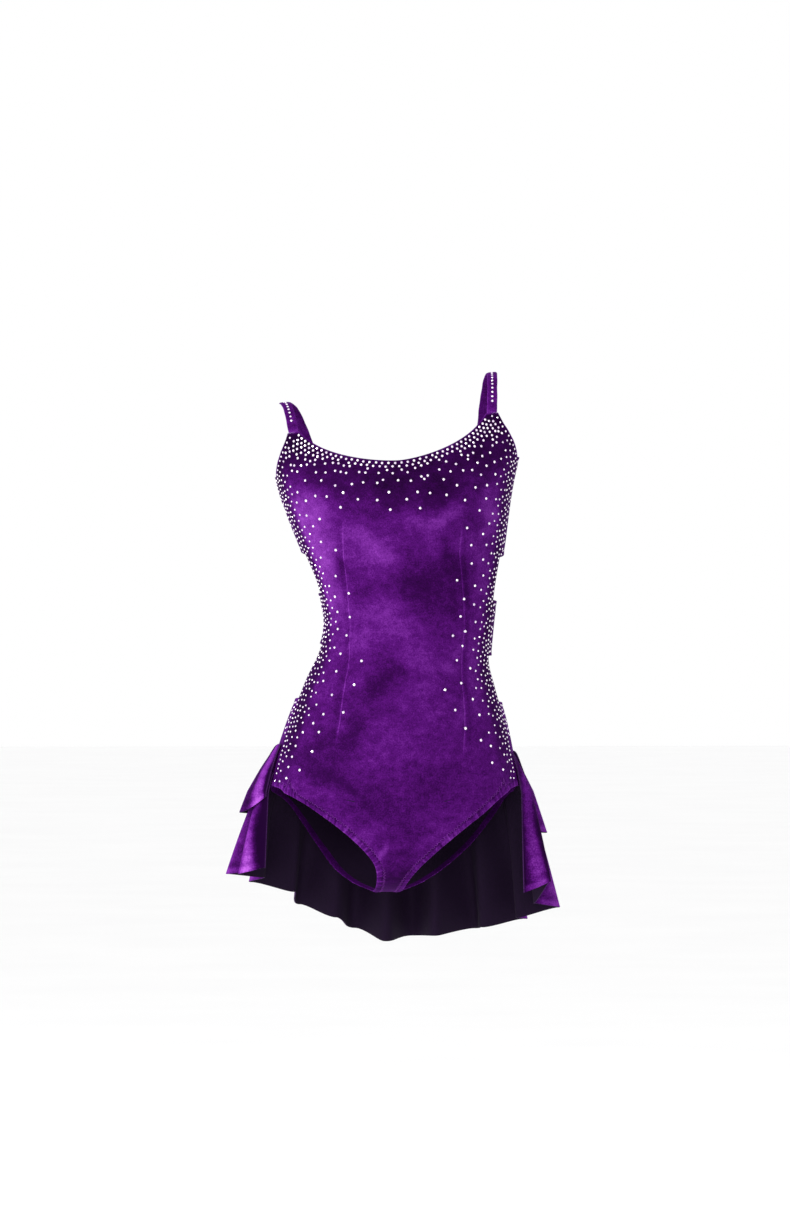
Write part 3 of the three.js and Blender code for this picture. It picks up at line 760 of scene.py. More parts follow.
def buildSeat():
    inner = np.linspace(-seat["border"], seat["border"], seat["columns"] + 1)
    side = np.array([-1, -0.98, -0.96, -seat["fold"]])
    columns = np.concatenate([side, inner, -side[::-1]])
    share = np.concatenate([[0, 0.01, 0.024, 0.045], np.linspace(0.07, 1, seat["rows"] - 3)])[:, None]
    top = mix(seat["seam"], seat["centre"], backBow(columns))[None, :]
    rise = seat["legRise"] * np.clip((1 - np.abs(columns)) / (1 - seat["fold"]), 0, 1)
    down = mix(top, (backLeg[0]["down"] - rise)[None, :], share)
    angle = backAngle(columns, down)
    saddleAngle, saddleDown = saddleGrid(
        backLeg, backPoint, columns, seat["border"], seat["fold"], (angle[-1], down[-1]), seat["saddleRows"])
    grid = np.concatenate([backPoint(angle, down), backPoint(saddleAngle, saddleDown)])
    relief = creaseRelief(grid, seatCreases)
    nap = backToneAndLight["seat"] + toneAndLightPatches(grid, backNap)
    relief[:len(share)] += edgeRelief(down - top)
    nap[:len(share)] += edgePaintedLight(down - top)
    return makeCloth("seat_velvet", lift(grid, relief, 1), 1, nap, velvetSet)


upperBandVelvet = buildBand("upper_band_velvet", upperBand, upperBandCreases)
waistBandVelvet = buildBand("waist_band_velvet", waistBand, waistBandCreases)
seatVelvet = buildSeat()
print("back: bands and seat made")


# ---- turned leg hems

hem = {
    "stations": 250, "around": 16, "flatness": 0.6,
    "outside": 1.45, "inside": 1.15,      # heights of the fold above and below the panel's middle
    "ruchePitch": 5.2, "rucheDepth": 0.42, "fuzz": 0.10,
    "pressed": 0.45,                      # share of its height that the stitches pull down
    "followsSeam": 16,                    # for this length its end turns to follow the side seam
}
# A base tone, a painted highlight on the ruche's ridges with painted shade in its troughs, painted shade
# along the stitch line, a painted highlight on the edge, and painted shade towards the crotch and on the
# underside.
hemToneAndLight = {"base": 0.47, "ruche": 0.18, "stitches": 0.24, "edge": 0.18, "crotch": 0.14, "underside": 0.3}
stitch = {"pitch": 2.6, "length": 3.2, "inset": 8.6, "width": 0.6, "above": 0.12, "slant": 0.8}


def hemSpot(kind, side, share, distance):  # a point of the hem on the panel's surface, and the way out
    angle, down = insideLeg(kind["line"], share, kind["surface"], distance)
    edgeDown = kind["line"][0]["down"] - distance
    turn = 1 - ease(share * kind["length"], 0, hem["followsSeam"])
    angle = mix(angle, kind["seamSide"](edgeDown), turn) * side
    down = mix(down, edgeDown, turn)
    point = kind["surface"](angle, down)
    beside = kind["surface"](angle + 0.4, down) - point
    below = kind["surface"](angle, down + 0.4) - point
    return point, unit(np.cross(beside, below)) * kind["outward"]


def rucheOf(along, distance, seed):  # the uneven small folds that the elastic draws up
    rng = np.random.default_rng(seed)
    phase = along / hem["ruchePitch"] * 2 * math.pi
    phase = phase + 1.4 * np.sin(along / 19 + seed) + 0.9 * np.sin(along / 7.3)
    strength = 0.55 + 0.45 * np.sin(along / 31 + seed * 2.1)
    rough = np.convolve(rng.standard_normal(hem["stations"] + 3), [0.3, 0.5, 0.3], "valid")[:, None]
    ruche = hem["rucheDepth"] * (0.35 * np.sin(phase + distance / 3.5) * strength + 0.65 * rough)
    return (ruche + hem["fuzz"] * rng.standard_normal(ruche.shape)) * ease(along, 0, 6)


def buildHem(name, kind, side, seed):
    share = np.linspace(0, 1 - cloth["seamGap"] / 2 / kind["length"], hem["stations"] + 1)[:, None]
    turn = np.linspace(0, 2 * math.pi, hem["around"], endpoint=False)[None, :]
    middle = cloth["hemWidth"] / 2
    distance = middle + middle * np.sign(np.cos(turn)) * np.abs(np.cos(turn)) ** hem["flatness"] + 0 * share
    middles, normal = hemSpot(kind, side, share + 0 * turn, distance)
    ruche = rucheOf(share * kind["length"], distance, seed)
    high = np.sin(turn)
    height = np.where(high > 0, hem["outside"] + ruche, hem["inside"])
    pressed = 1 - hem["pressed"] * hill(distance - stitch["inset"], 1.1)
    rings = middles + normal * (high * height * pressed)[..., None]
    toneAndLightTable = hemToneAndLight
    nap = toneAndLightTable["base"] + toneAndLightTable["ruche"] * ruche / hem["rucheDepth"]
    nap = nap - toneAndLightTable["stitches"] * hill(distance - stitch["inset"], 1.2)
    nap = nap + toneAndLightTable["edge"] * hill(distance, 1.4) - toneAndLightTable["crotch"] * ease(share, 0.55, 0.95)
    return makeTube(name, rings, np.where(high > 0.05, nap, toneAndLightTable["underside"]))


hemKinds = [
    dict(panel="front", line=frontLeg, length=frontLegLength, surface=frontPoint, outward=-1,
         seamSide=seamAngle),
    dict(panel="back", line=backLeg, length=backLegLength, surface=backPoint, outward=1,
         seamSide=lambda down: 180 - seamAngle(down) - backGap),
]
hems = []
for kind in hemKinds:
    for side, word in sides.items():
        name = kind["panel"] + "_leg_hem_" + word
        hems.append(dict(name=name, kind=kind, side=side, obj=buildHem(name, kind, side, len(hems) + 3)))
print("leg hems:", len(hems))


# ---- ruffles

ruffleSeams = {
    "upper": {"side": 400, "centre": 410, "from": 0, "to": 0.93,
              "climb": -9, "climbFrom": 0.75, "curve": 0.85,
              "round": 430, "rows": 54},
    "lower": {"side": 436, "centre": 446, "from": 0, "to": 1, "climb": 26, "climbFrom": 0.94, "curve": 0.75,
              "round": 450, "rows": 66},
}
seamTurn = 1
# A row for each ridge and each trough, from the left side seam round the back.
folds = table(
    "at upperFlare lowerFlare upperHem lowerHem",
    (0, 0.07, 0.05, -510, -598), (0.035, 0.29, 0.29, -526, -606), (0.075, 0.15, 0.13, -524, -604),
    (0.13, 0.44, 0.44, -532, -609), (0.18, 0.16, 0.14, -535, -614), (0.235, 0.45, 0.46, -541, -622),
    (0.285, 0.15, 0.12, -545, -634), (0.34, 0.38, 0.37, -551, -652), (0.39, 0.14, 0.11, -555, -668),
    (0.445, 0.36, 0.33, -559, -684), (0.495, 0.14, 0.11, -563, -699), (0.545, 0.37, 0.35, -563, -694),
    (0.595, 0.15, 0.12, -563, -692), (0.65, 0.39, 0.38, -562, -684), (0.7, 0.15, 0.12, -562, -680),
    (0.755, 0.38, 0.36, -560, -670), (0.8, 0.15, 0.12, -559, -666), (0.86, 0.41, 0.37, -558, -652),
    (0.91, 0.15, 0.1, -553, -645), (0.96, 0.28, 0.25, -548, -616), (1, 0.07, 0.03, -536, -630),
)
# Painted sheen and painted shade round each tier, light on the ridges and dark in the troughs and where the
# cloth turns from the light: at is the way round, root and hem the value at its two ends.
foldPaintedSheen = {
    "upper": table(
        "at root hem",
        (0, -0.2, -0.12), (0.007, -0.06, 0), (0.012, 0.46, 0.6), (0.021, 0.62, 0.84), (0.029, 0.56, 0.66),
        (0.037, 0.26, 0.3), (0.06, 0.1, 0.1), (0.09, 0.1, 0.12), (0.112, 0.22, 0.3), (0.13, 0.34, 0.46),
        (0.155, 0.34, 0.5), (0.185, 0.2, 0.22), (0.235, 0.46, 0.7), (0.285, 0.2, 0.24), (0.34, 0.44, 0.62),
        (0.39, 0.22, 0.26), (0.445, 0.42, 0.66), (0.495, 0.2, 0.22), (0.545, 0.44, 0.64),
        (0.595, 0.2, 0.26), (0.65, 0.42, 0.6), (0.7, 0.22, 0.22), (0.755, 0.42, 0.58), (0.8, 0.2, 0.22),
        (0.845, 0.42, 0.54), (0.86, 0.44, 0.66), (0.871, 0.38, 0.58), (0.884, 0.24, 0.46),
        (0.905, 0.14, 0.28), (0.931, 0.12, 0.14),
    ),
    "lower": table(
        "at root hem",
        (0, -0.26, -0.3), (0.009, -0.22, -0.2), (0.016, 0.02, 0.1), (0.022, 0.28, 0.66),
        (0.028, 0.38, 0.83), (0.033, 0.38, 0.68), (0.039, 0.3, 0.44), (0.06, 0.1, 0.14), (0.09, 0.12, 0.2),
        (0.108, 0.26, 0.4), (0.122, 0.38, 0.62), (0.133, 0.3, 0.48), (0.18, 0.18, 0.2), (0.235, 0.46, 0.72),
        (0.285, 0.18, 0.22), (0.34, 0.42, 0.66), (0.39, 0.2, 0.24), (0.445, 0.44, 0.7), (0.495, 0.18, 0.22),
        (0.545, 0.42, 0.62), (0.595, 0.22, 0.24), (0.65, 0.44, 0.68), (0.7, 0.2, 0.22), (0.755, 0.42, 0.6),
        (0.8, 0.2, 0.22), (0.845, 0.4, 0.5), (0.86, 0.42, 0.56), (0.87, 0.2, 0.62), (0.884, -0.02, 0.44),
        (0.905, -0.12, 0.1), (0.93, -0.1, -0.06), (0.959, 0.14, -0.06), (0.968, 0.26, -0.02),
        (0.977, 0.44, 0.52), (0.987, 0.36, 0.54), (1, 0.02, 0.06),
    ),
}
# The gathers' pleats get painted light on their ridges and painted shade in their troughs.
gathers = {"count": 52, "rise": 1.1, "reach": 26, "nap": 0.12}
# A painted highlight 4 mm above the ruffle's hem, and painted shade at 11 mm.
ruffleEdge = {"light": 0.10, "lightAt": 4, "lightWidth": 3, "darkAt": 11, "darkWidth": 4}


def foldValue(at, column):  # between a ridge and a trough the cloth swings over in half a wave
    keys = np.array([row["at"] for row in folds])
    values = np.array([row[column] for row in folds])
    i = np.clip(np.searchsorted(keys, at, side="right") - 1, 0, len(folds) - 2)
    share = (at - keys[i]) / (keys[i + 1] - keys[i])
    return mix(values[i], values[i + 1], (1 - np.cos(math.pi * share)) / 2)


def awayFromBack(angle, down):
    beside = backPoint(angle + 1, down) - backPoint(angle - 1, down)
    normal = unit(np.stack([-beside[..., 1], beside[..., 0], 0 * angle], -1))
    centre = (read(figureSections, "down", down, "leftX") + read(figureSections, "down", down, "rightX")) / 2
    out = backPoint(angle, down) - np.stack([centre, 0 * centre, 0 * centre], -1)
    facing = normal[..., 0] * out[..., 0] + normal[..., 1] * out[..., 1]
    return np.where((facing < 0)[..., None], -normal, normal)


def gatherWave(at, shift):  # small pleats of uneven width at the seam
    phase = 2 * math.pi * gathers["count"] * at
    uneven = phase + 1.3 * np.sin(phase / 5.3 + shift) + 0.8 * np.sin(phase / 3.1 + 2 * shift)
    return np.sin(uneven) * (0.65 + 0.35 * np.sin(phase / 7.9 + shift))


def buildRuffle(name, tier, shift):  # s runs from the seam, 0, to the hem, 1
    seam = ruffleSeams[tier]
    at = np.linspace(seam["from"], seam["to"], seam["round"] + 1)[None, :]
    s = np.linspace(0, 1, seam["rows"] + 1)[:, None]
    place = 2 * at - 1
    rise = seam["climb"] * ease(at, seam["climbFrom"], 1)
    down = mix(seam["side"], seam["centre"], np.cos(place * math.pi / 2)) - rise
    angle = place * (180 - seamAngle(down) - seamTurn)
    root = backPoint(angle, down)[..., 2]
    length = root - foldValue(at, tier + "Hem")
    fallen = s * length
    level = np.minimum(down + fallen, legDown)
    overHem = cloth["hemRaise"] * np.minimum(fallen / cloth["hemWidth"], 1)
    clear = cloth["wall"] + cloth["seamGap"] + cloth["curveEase"] + overHem
    stand = foldValue(at, tier + "Flare") * length * s ** seam["curve"]
    angle = angle + 0 * s
    grid = backPoint(angle, level) + awayFromBack(angle, level) * (clear + stand)[..., None]
    grid[..., 2] = root - fallen
    fade = np.exp(-fallen / gathers["reach"]) * ease(fallen, 0, 3)
    pleats = gatherWave(at, shift)
    relief = gathers["rise"] * (pleats + 0.4) * fade
    sway = ease(s, 0.25, 1)
    waves = 0.9 * np.sin(at * 61 + shift) * np.sin(at * 23) + 0.5 * np.sin(at * 143 + s * 2)
    relief = relief + sway * waves
    rows = foldPaintedSheen[tier]
    lean = at + 0.004 * np.sin(s * 7 + at * 40)
    nap = mix(read(rows, "at", lean, "root"), read(rows, "at", lean, "hem"), ease(s, 0.1, 0.92))
    above, edge = length - fallen, ruffleEdge
    nap = nap + gathers["nap"] * pleats * fade + edge["light"] * (
        hill(above - edge["lightAt"], edge["lightWidth"]) - hill(above - edge["darkAt"], edge["darkWidth"]))
    return makeCloth(name, lift(grid, relief, 1), 1, nap, ruffleSet)


upperRuffle = buildRuffle("upper_ruffle_velvet", "upper", 0.7)
lowerRuffle = buildRuffle("lower_ruffle_velvet", "lower", 2.2)
print("ruffles:", len(upperRuffle.data.polygons) + len(lowerRuffle.data.polygons), "faces")


# ---- straps

strap = {
    "width": 12.5, "thickness": 2.4, "jointAngle": 42,
    "tops": {-1: (-130, 0, -19), 1: (130, 0, 19)},
    "shoulderLine": (1, 0, 0.1),
    "frontSteps": 46, "backSteps": 70, "sides": 24,
    # a base tone, a painted highlight along the strap's edges, and a painted highlight where it starts at
    # its seat
    "nap": 0.42, "border": 0.22, "seatPaintedHighlight": 0.2,
}


def strapPath(side):
    top = np.array(strap["tops"][side], float)
    seatAngle = side * (front["seatInner"] + front["seatOuter"]) / 2
    seatSpot = frontPoint(seatAngle, 0)
    jointAngle = side * strap["jointAngle"]
    place = jointAngle / (180 - seamAngle(upperBand["topSeam"]))
    bandTop = lambda at: mix(upperBand["topSeam"], upperBand["topCentre"], backBow(at))
    joint = backPoint(jointAngle, bandTop(place))
    slope = lambda a, b: (b[2] - a[2]) / (b[0] - a[0])
    seatEdge = slope(frontPoint(seatAngle - 2, 0), frontPoint(seatAngle + 2, 0))
    jointEdge = slope(backPoint(jointAngle - 2, bandTop(place - 0.02)),
                      backPoint(jointAngle + 2, bandTop(place + 0.02)))
    seatSpot[2] += cloth["seamGap"]
    joint[2] += cloth["seamGap"]

    def quarter(start, share):  # a quarter of an ellipse up to the top of the strap
        a = share * math.pi / 2
        return np.stack([
            mix(start[0], top[0], share), mix(top[1], start[1], np.cos(a)), mix(start[2], top[2], np.sin(a)),
        ], -1)

    ahead = quarter(seatSpot, np.linspace(0, 1, strap["frontSteps"] + 1))
    behind = quarter(joint, np.linspace(1, 0, strap["backSteps"] + 1))[1:]
    return np.concatenate([ahead, behind]), seatEdge, jointEdge


def buildStrap(name, side):
    path, seatEdge, jointEdge = strapPath(side)
    tangent = unit(np.gradient(path, axis=0))
    shoulder = np.array(strap["shoulderLine"], float)
    across = unit(shoulder - (tangent @ shoulder)[:, None] * tangent)
    up = np.cross(across, tangent)
    turn = np.linspace(0, 2 * math.pi, strap["sides"], endpoint=False)
    flat = np.sign(np.cos(turn)) * np.abs(np.cos(turn)) ** 0.5
    run = travel(path)
    pull = 1 + 0.025 * np.sin(run / 7) + 0.02 * np.sin(run / 3.3 + side)
    rings = (path[:, None, :]
             + across[:, None, :] * (flat * strap["width"] / 2)[None, :, None] * pull[:, None, None]
             + up[:, None, :] * (np.sin(turn) * strap["thickness"] / 2)[None, :, None])
    for i, cut in ((0, seatEdge), (len(path) - 1, jointEdge)):
        rings[i, :, 2] = path[i, 2] + (rings[i, :, 0] - path[i, 0]) * cut
    border = strap["border"] * ease(np.abs(flat), 0.8, 1)
    nap = strap["nap"] + border[None, :] + strap["seatPaintedHighlight"] * hill(run[:, None], 4)
    return dict(obj=makeTube(name, rings, nap), path=path, up=up, run=run)


strapParts = {side: buildStrap("strap_velvet_" + word, side) for side, word in sides.items()}
print("straps: made")


# ---- rhinestones

stone = {
    "size": 3.2, "height": 1.3, "table": 0.52, "foot": 0.16,
    "sunk": 0.25,                       # how far its foot is pressed into the pile
    "firstRow": 3.5, "rowStep": 4.7,    # rows that follow the neckline
    "neckRows": 11, "pitchSide": 5.9, "pitchCentre": 7.9, "apart": 4.5,
    "fullSide": 31, "fullCentre": 10, "fallOff": 9,    # how deep they are full, and how they thin out
    "nearest": 5.7,
    "sideSize": 2.6, "sideInset": 2.3,  # the close row at each side, inset in degrees
    "sidePitch": 5.6, "sideEnd": 440,
    "single": 3.5,                      # stones that stand alone are larger
    "candidates": 90000, "lowest": 492, "seed": 41,
}
never = 999   # a gap that no stone keeps
# How wide the dense edge of stones is and how far single ones reach, from the side seam.
sideSpread = table(
    "z dense reach",
    (-40, 30, 70), (-100, 30, 78), (-150, 24, 70), (-220, 22, 66), (-280, 30, 82), (-350, 38, 90),
    (-400, 36, 80), (-440, 22, 66), (-470, 9, 50), (-492, 2, 26),
)
backEdges = table(
    "obj top bottom",
    (upperBandVelvet, upperBand["topSeam"] + 4, upperBand["bottomSeam"] - 3),
    (waistBandVelvet, waistBand["topSeam"] + 4, waistBand["bottomSeam"] - 3),
    (seatVelvet, seat["seam"] + 4, 388),
)
backRows = table("inset pitch", (2.2, 5.8), (5.4, 9.5))
strapRow = {"pitch": 6.0, "bareFront": 15, "bareBack": 8, "size": 2.9}

topPlaces = np.linspace(-1, 1, 1201)
topDowns = neckDown(topPlaces)
topEdge = frontPoint(topPlaces * seamAngle(topDowns), topDowns)
atNeck = np.abs(topPlaces) <= strapInner
neckPlaces, neckEdge, armholeEdge = topPlaces[atNeck], topEdge[atNeck], topEdge[~atNeck]


def stoneShape():  # one cut stone, modelled once
    foot = stone["foot"]
    bpy.ops.object.select_all(action="DESELECT")
    bpy.ops.mesh.primitive_cylinder_add(vertices=8, radius=0.5, depth=foot, location=(0, 0, foot / 2))
    bpy.ops.object.mode_set(mode="EDIT")
    bpy.ops.mesh.select_mode(type="FACE")
    bpy.ops.mesh.select_all(action="DESELECT")
    bpy.ops.object.mode_set(mode="OBJECT")
    for face in bpy.context.object.data.polygons:
        face.select = face.normal.z > 0.9
    bpy.ops.object.mode_set(mode="EDIT")
    crown = stone["height"] / stone["size"] - foot
    bpy.ops.mesh.extrude_region_move(TRANSFORM_OT_translate={"value": (0, 0, crown)})
    bpy.ops.transform.resize(value=(stone["table"], stone["table"], 1))
    bpy.ops.object.mode_set(mode="OBJECT")
    editAll(bpy.ops.mesh.remove_doubles, threshold=0.0001)
    return takeShape()


stonePoints, stoneFaces = stoneShape()


def layStones(name, spots, normals, sizes, seed):
    rng = np.random.default_rng(seed)
    copies, spark = [], []
    for spot, normal, size in zip(spots, normals, sizes):
        up = (Vector(normal) + Vector(rng.normal(0, 0.05, 3))).normalized()
        turn = rng.uniform(0, math.pi)
        side = up.orthogonal().normalized()
        a = side * math.cos(turn) + up.cross(side) * math.sin(turn)
        placed = stonePoints * size @ np.array([a, up.cross(a), up])
        copies.append(placed + np.array(spot) - np.array(up) * stone["sunk"])
        # each stone's painted glint
        spark += [rng.uniform(0.1, 1)] * len(stonePoints)
    setValues(joinCopies(name, copies, stoneFaces, rhinestone), "spark", spark)
    print(name + ":", len(spots), "stones")


def surfaceTree(obj):
    return BVHTree.FromPolygons([v.co for v in obj.data.vertices], [p.vertices for p in obj.data.polygons])


stoneSpots, stoneKinds = [], []


def addStone(spot, size, group, on=frontVelvet):
    stoneSpots.append(spot)
    stoneKinds.append(dict(size=size, group=group, on=on))


def nearestStone(spot):
    return np.linalg.norm(np.array(stoneSpots) - spot, axis=1).min()


def sideGroup(side):
    return "left_side" if side < 0 else "right_side"


def fullDepth(wide):
    return mix(stone["fullCentre"], stone["fullSide"], ease(wide, 0.45, 1))


def edgeRows(rng):  # each side's edge has its own close row
    places = np.linspace(strapOuter, 1, 60)
    downs = neckDown(places)
    for side in sides:
        down = 6.0
        while down < stone["sideEnd"]:
            place = np.interp(down, downs, places)
            angle = side * (place * seamAngle(down) - stone["sideInset"] - rng.uniform(-0.3, 0.5))
            addStone(frontPoint(angle, down), stone["sideSize"], sideGroup(side))
            down += rng.normal(stone["sidePitch"], 0.35)


def belowNeck(tree, place, depth):  # the spot on the cloth square to the neckline, if it isn't past its side
    here, ahead, below = [frontPoint(at * seamAngle(neckDown(at)), neckDown(at) + more)
                          for at, more in ((place, 0), (place + 0.004, 0), (place, 1))]
    along = (ahead - here) / np.linalg.norm(ahead - here)
    inward = below - here - ((below - here) @ along) * along
    spot = here + inward / np.linalg.norm(inward) * depth
    onCloth = np.array(tree.find_nearest(Vector(spot * mm))[0]) / mm
    beyond = np.linalg.norm(onCloth - spot) > 2.5 + depth ** 2 / 150
    return None if beyond else onCloth


def neckRows(rng):  # rows follow the neckline, square to it
    tree = surfaceTree(frontVelvet)
    run = travel(neckEdge)
    for number in range(stone["neckRows"]):
        depth = stone["firstRow"] + number * stone["rowStep"]
        travelled = 2.5 + number % 2 * 3.3
        while travelled < run[-1] - 2:
            place = np.interp(travelled, run, neckPlaces)
            wide = abs(place) / strapInner
            travelled += mix(stone["pitchCentre"], stone["pitchSide"], wide) + rng.normal(0, 0.3)
            if rng.uniform() > math.exp(-max(depth - fullDepth(wide), 0) / stone["fallOff"]):
                continue
            spot = belowNeck(tree, place, depth + rng.normal(0, 0.25 + 0.1 * number))
            if spot is None or np.linalg.norm(armholeEdge - spot, axis=1).min() < 3:
                continue
            if nearestStone(spot) > stone["apart"]:
                addStone(spot, stone["size"], "neckline")


def scattered(rng):  # the rest are scattered, closest at the edges
    place = rng.uniform(-0.985, 0.985, stone["candidates"])
    down = rng.uniform(0, 447, stone["candidates"])
    chance = rng.uniform(0, 1, stone["candidates"])
    jitter = rng.uniform(0.9, 1.15, stone["candidates"])
    keep = down > neckDown(place) + 3.4
    place, down, chance, jitter = place[keep], down[keep], chance[keep], jitter[keep]
    spots = frontPoint(place * seamAngle(down), down)
    neckFar = np.min(np.linalg.norm(spots[:, None, :] - neckEdge[None, ::24, :], axis=2), axis=1)
    side = (1 - np.abs(place)) * seamAngle(down) * 1.75
    below = [-row["z"] for row in sideSpread]
    dense, reach = [np.interp(-spots[:, 2], below, [row[column] for row in sideSpread])
                    for column in ("dense", "reach")]
    sideGap = (stone["nearest"] + np.clip(side - dense * 0.55, 0, None) * 0.22
               + np.clip(side - dense, 0, None) * 0.22)
    sideGap = np.where(side > reach, never, sideGap)
    wide = np.abs(place) / strapInner
    full = fullDepth(wide)
    neckGap = 9 + np.clip(neckFar - full, 0, None) * 0.2
    neckGap = np.where((neckFar < full + 6) | (neckFar > mix(64, 84, ease(wide, 0.4, 1))), never, neckGap)
    gap = np.minimum(sideGap, neckGap) * jitter
    for i in np.flatnonzero((gap <= 60) & (spots[:, 2] > -stone["lowest"])):
        if nearestStone(spots[i]) < gap[i]:
            continue
        byNeck = neckGap[i] <= sideGap[i]
        small = stone["size"] if byNeck else stone["sideSize"]
        size = mix(small, stone["single"], float(ease(gap[i], 8, 16))) * (0.94 + 0.1 * chance[i])
        addStone(spots[i], size, "neckline" if byNeck else sideGroup(place[i]))


def backEdgeRows(rng):  # they go on round the side seams, on the edges of the back pieces
    for piece in backEdges:
        for side in sides:
            for row in backRows:
                down = piece["top"] + rng.uniform(0, 2)
                while down < piece["bottom"]:
                    angle = side * (180 - seamAngle(down) - row["inset"] - rng.uniform(-0.3, 0.7))
                    addStone(backPoint(angle, down), stone["sideSize"], sideGroup(side), piece["obj"])
                    down += row["pitch"] * rng.uniform(0.88, 1.2)


def placeStones():
    cloths = (frontVelvet, upperBandVelvet, waistBandVelvet, seatVelvet)
    trees = {obj.name: surfaceTree(obj) for obj in cloths}
    for group in ("neckline", "left_side", "right_side"):
        spots, normals, sizes = [], [], []
        for spot, kind in zip(stoneSpots, stoneKinds):
            if kind["group"] != group:
                continue
            onCloth, normal, _, _ = trees[kind["on"].name].find_nearest(Vector(spot * mm))
            outside = Vector(spot - np.array([8, 0, spot[2]]))
            if normal.dot(outside) < 0:
                normal = -normal
                onCloth = onCloth + normal * cloth["wall"] * mm
            spots.append(np.array(onCloth) / mm)
            normals.append(normal)
            sizes.append(kind["size"])
        layStones("stones_" + group, spots, normals, sizes, len(group))


def strapStones(side, word):  # one row on each strap
    part = strapParts[side]
    run = part["run"]
    shoulderCentre = np.array([0, 0, -60])
    spots, normals = [], []
    for station in np.arange(strapRow["bareFront"], run[-1] - strapRow["bareBack"], strapRow["pitch"]):
        point, normal = [np.array([np.interp(station, run, part[line][:, k]) for k in range(3)])
                         for line in ("path", "up")]
        normal = unit(normal)
        if normal @ (point * [0, 1, 1] - shoulderCentre) < 0:
            normal = -normal
        spots.append(point + normal * strap["thickness"] / 2)
        normals.append(normal)
    layStones("stones_strap_" + word, spots, normals, [strapRow["size"]] * len(spots), 7 + side)


chances = np.random.default_rng(stone["seed"])
for sew in (edgeRows, neckRows, scattered, backEdgeRows):
    sew(chances)
placeStones()
for side, word in sides.items():
    strapStones(side, word)


# ---- thread

def stitchShape():  # one stitch lying along X, thinner towards its ends
    bpy.ops.object.select_all(action="DESELECT")
    bpy.ops.mesh.primitive_cylinder_add(vertices=6, radius=0.5, depth=1, rotation=(0, math.pi / 2, 0))
    editAll(bpy.ops.mesh.subdivide, number_cuts=1)
    points, faces = takeShape()
    points[:, 1:] *= (1 - 0.55 * (2 * np.abs(points[:, :1])) ** 2)
    return points, faces


stitchPoints, stitchFaces = stitchShape()


def sewHem(part):  # a zig-zag along the hem, laid on its cloth
    kind = part["kind"]
    tree = surfaceTree(part["obj"])
    copies = []
    for number, station in enumerate(np.arange(15, kind["length"] - 3, stitch["pitch"])):
        pair = []
        further = station + stitch["pitch"] * stitch["slant"]
        for end, run in ((1 - number % 2, station), (number % 2, further)):
            share = min(run / kind["length"], 0.99)
            inset = stitch["inset"] + (end - 0.5) * stitch["length"] * stitch["slant"]
            point, normal = hemSpot(kind, part["side"], share, inset)
            hit = tree.ray_cast(Vector((point + normal * 6) * mm), Vector(-normal))[0]
            onCloth = np.array(hit) / mm if hit else point + normal
            pair.append(onCloth + normal * stitch["above"])
        way = Vector(pair[1]) - Vector(pair[0])
        x = way.normalized()
        y = Vector(normal).cross(x).normalized()
        placed = stitchPoints * [way.length, stitch["width"], stitch["width"]] @ np.array([x, y, x.cross(y)])
        copies.append(placed + (pair[0] + pair[1]) / 2)
    return joinCopies(part["name"] + "_stitches", copies, stitchFaces, threadCloth)


for part in hems:
    part["stitches"] = sewHem(part)
print("stitches: laid")


# ---- what each piece is in the frame

pieces = table(
    "obj node slot",
    (frontVelvet, "front_panel", "body_velvet"),
    (seatVelvet, "seat_panel", "body_velvet"),
    (upperBandVelvet, "upper_back_band", "body_velvet"),
    (waistBandVelvet, "waist_back_band", "body_velvet"),
    (strapParts[-1]["obj"], "strap_left", "strap_velvet"),
    (strapParts[1]["obj"], "strap_right", "strap_velvet"),
    (upperRuffle, "ruffle_upper", "ruffle_velvet"),
    (lowerRuffle, "ruffle_lower", "ruffle_velvet"),
)
for piece in pieces:
    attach(piece["obj"], "root")
    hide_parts(piece["node"])
for part in hems:
    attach(part["obj"], "root")


def hemPieces(panel):
    return [part[kind] for kind in ("obj", "stitches") for part in hems if part["kind"]["panel"] == panel]


hemPieces("front")
hemPieces("back")
for part in strapParts.values():
    part["run"][-1] * mm


# ---- studio

studio = {"floor": -1.12, "width": 60, "world": 1.0, "aim": (0.01, 0, -0.3)}
lights = table(
    "name place size power",
    ("key", (-2.8, -2.4, 0.9), 1.2, 90), ("front", (-0.5, -4.2, 0.3), 0.9, 40),
)
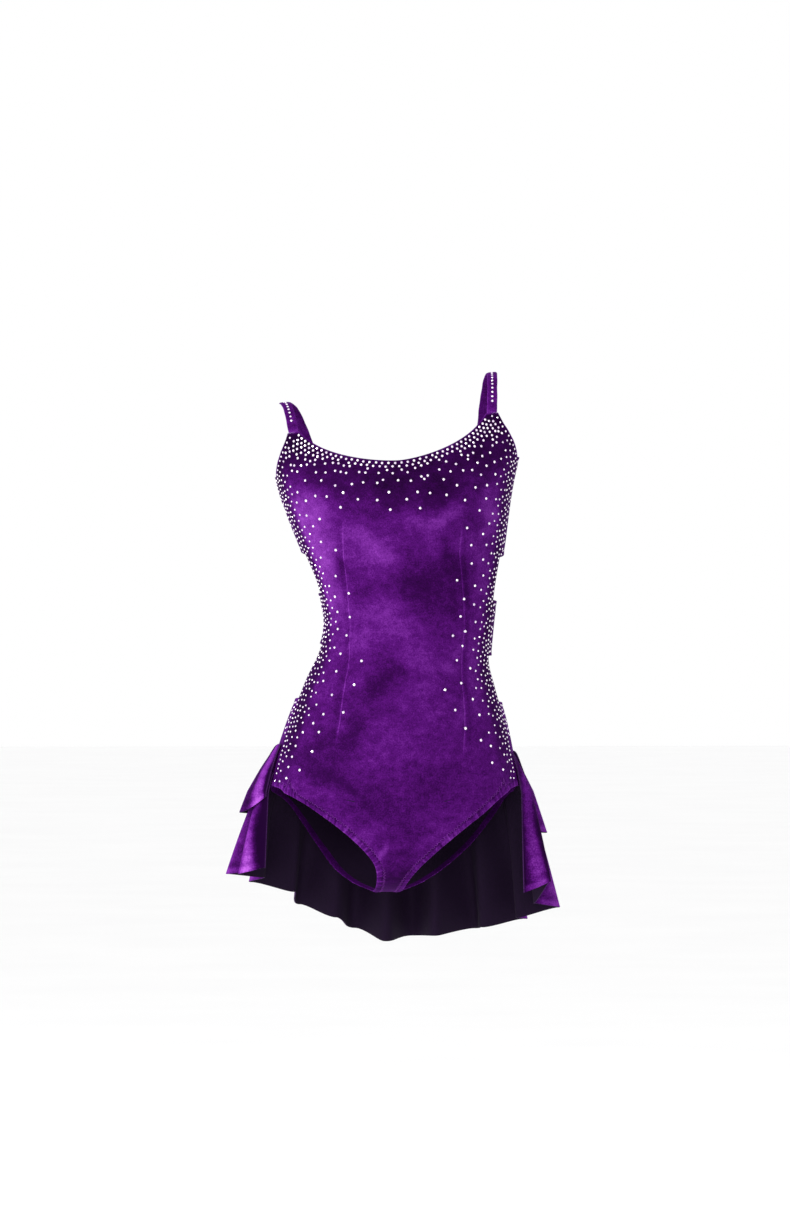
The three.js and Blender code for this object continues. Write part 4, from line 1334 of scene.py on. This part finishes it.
# The view is level, from 3 degrees to the left of the front. aimAcross and aimUp are in millimetres.
view = {
    "turn": -3, "distance": 8.0, "sensor": 36, "farthest": 60,
    "pixelsHigh": 1206, "pixelSize": 1.25, "aimAcross": 8.75, "aimUp": -268.75,
}


def paper():
    material, flow, place = startMaterial("studio_paper")
    shade = noise(place, 400, 2).ramp([(0.3, (0.955, 0.955, 0.957)), (0.7, (0.975, 0.975, 0.976))])
    finishMaterial(flow, {"Base Color": shade, "Roughness": 0.9, "Specular IOR Level": 0.1})
    return material


def makeFloor():
    bpy.ops.object.select_all(action="DESELECT")
    bpy.ops.mesh.primitive_plane_add(size=studio["width"], location=(0, 0, 0))
    floor = bpy.context.object
    floor.name = "studio_floor"
    editAll(bpy.ops.transform.translate, value=(0, 0, studio["floor"]))
    floor.data.materials.append(paper())


def addLight(name, place, size, power):
    bpy.ops.object.select_all(action="DESELECT")
    bpy.ops.object.light_add(type="AREA", location=place)
    light = bpy.context.object
    light.name = name
    light.rotation_euler = (Vector(studio["aim"]) - Vector(place)).to_track_quat("-Z", "Y").to_euler()
    light.data.shape = "DISK"
    light.data.size = size
    light.data.energy = power


def makeCamera():
    a = math.radians(view["turn"])
    right = Vector((math.cos(a), math.sin(a), 0))
    aim = right * view["aimAcross"] * mm + Vector((0, 0, view["aimUp"] * mm))
    place = aim + Vector((math.sin(a), -math.cos(a), 0)) * view["distance"]
    bpy.ops.object.select_all(action="DESELECT")
    bpy.ops.object.camera_add(location=place, rotation=(math.pi / 2, 0, a))
    camera = bpy.context.object
    camera.data.sensor_width = view["sensor"]
    camera.data.lens = view["sensor"] * view["distance"] / (view["pixelsHigh"] * view["pixelSize"] * mm)
    camera.data.clip_end = view["farthest"]
    bpy.context.scene.camera = camera


makeFloor()
for light in lights:
    addLight(**light)
world = bpy.data.worlds.new("studio")
bpy.context.scene.world = world
world.use_nodes = True
world.node_tree.nodes["Background"].inputs["Color"].default_value = (1, 1, 1, 1)
world.node_tree.nodes["Background"].inputs["Strength"].default_value = studio["world"]
bpy.context.scene.view_settings.view_transform = "Standard"
makeCamera()
print("studio: lights and camera")

bpy.ops.object.select_all(action="DESELECT")
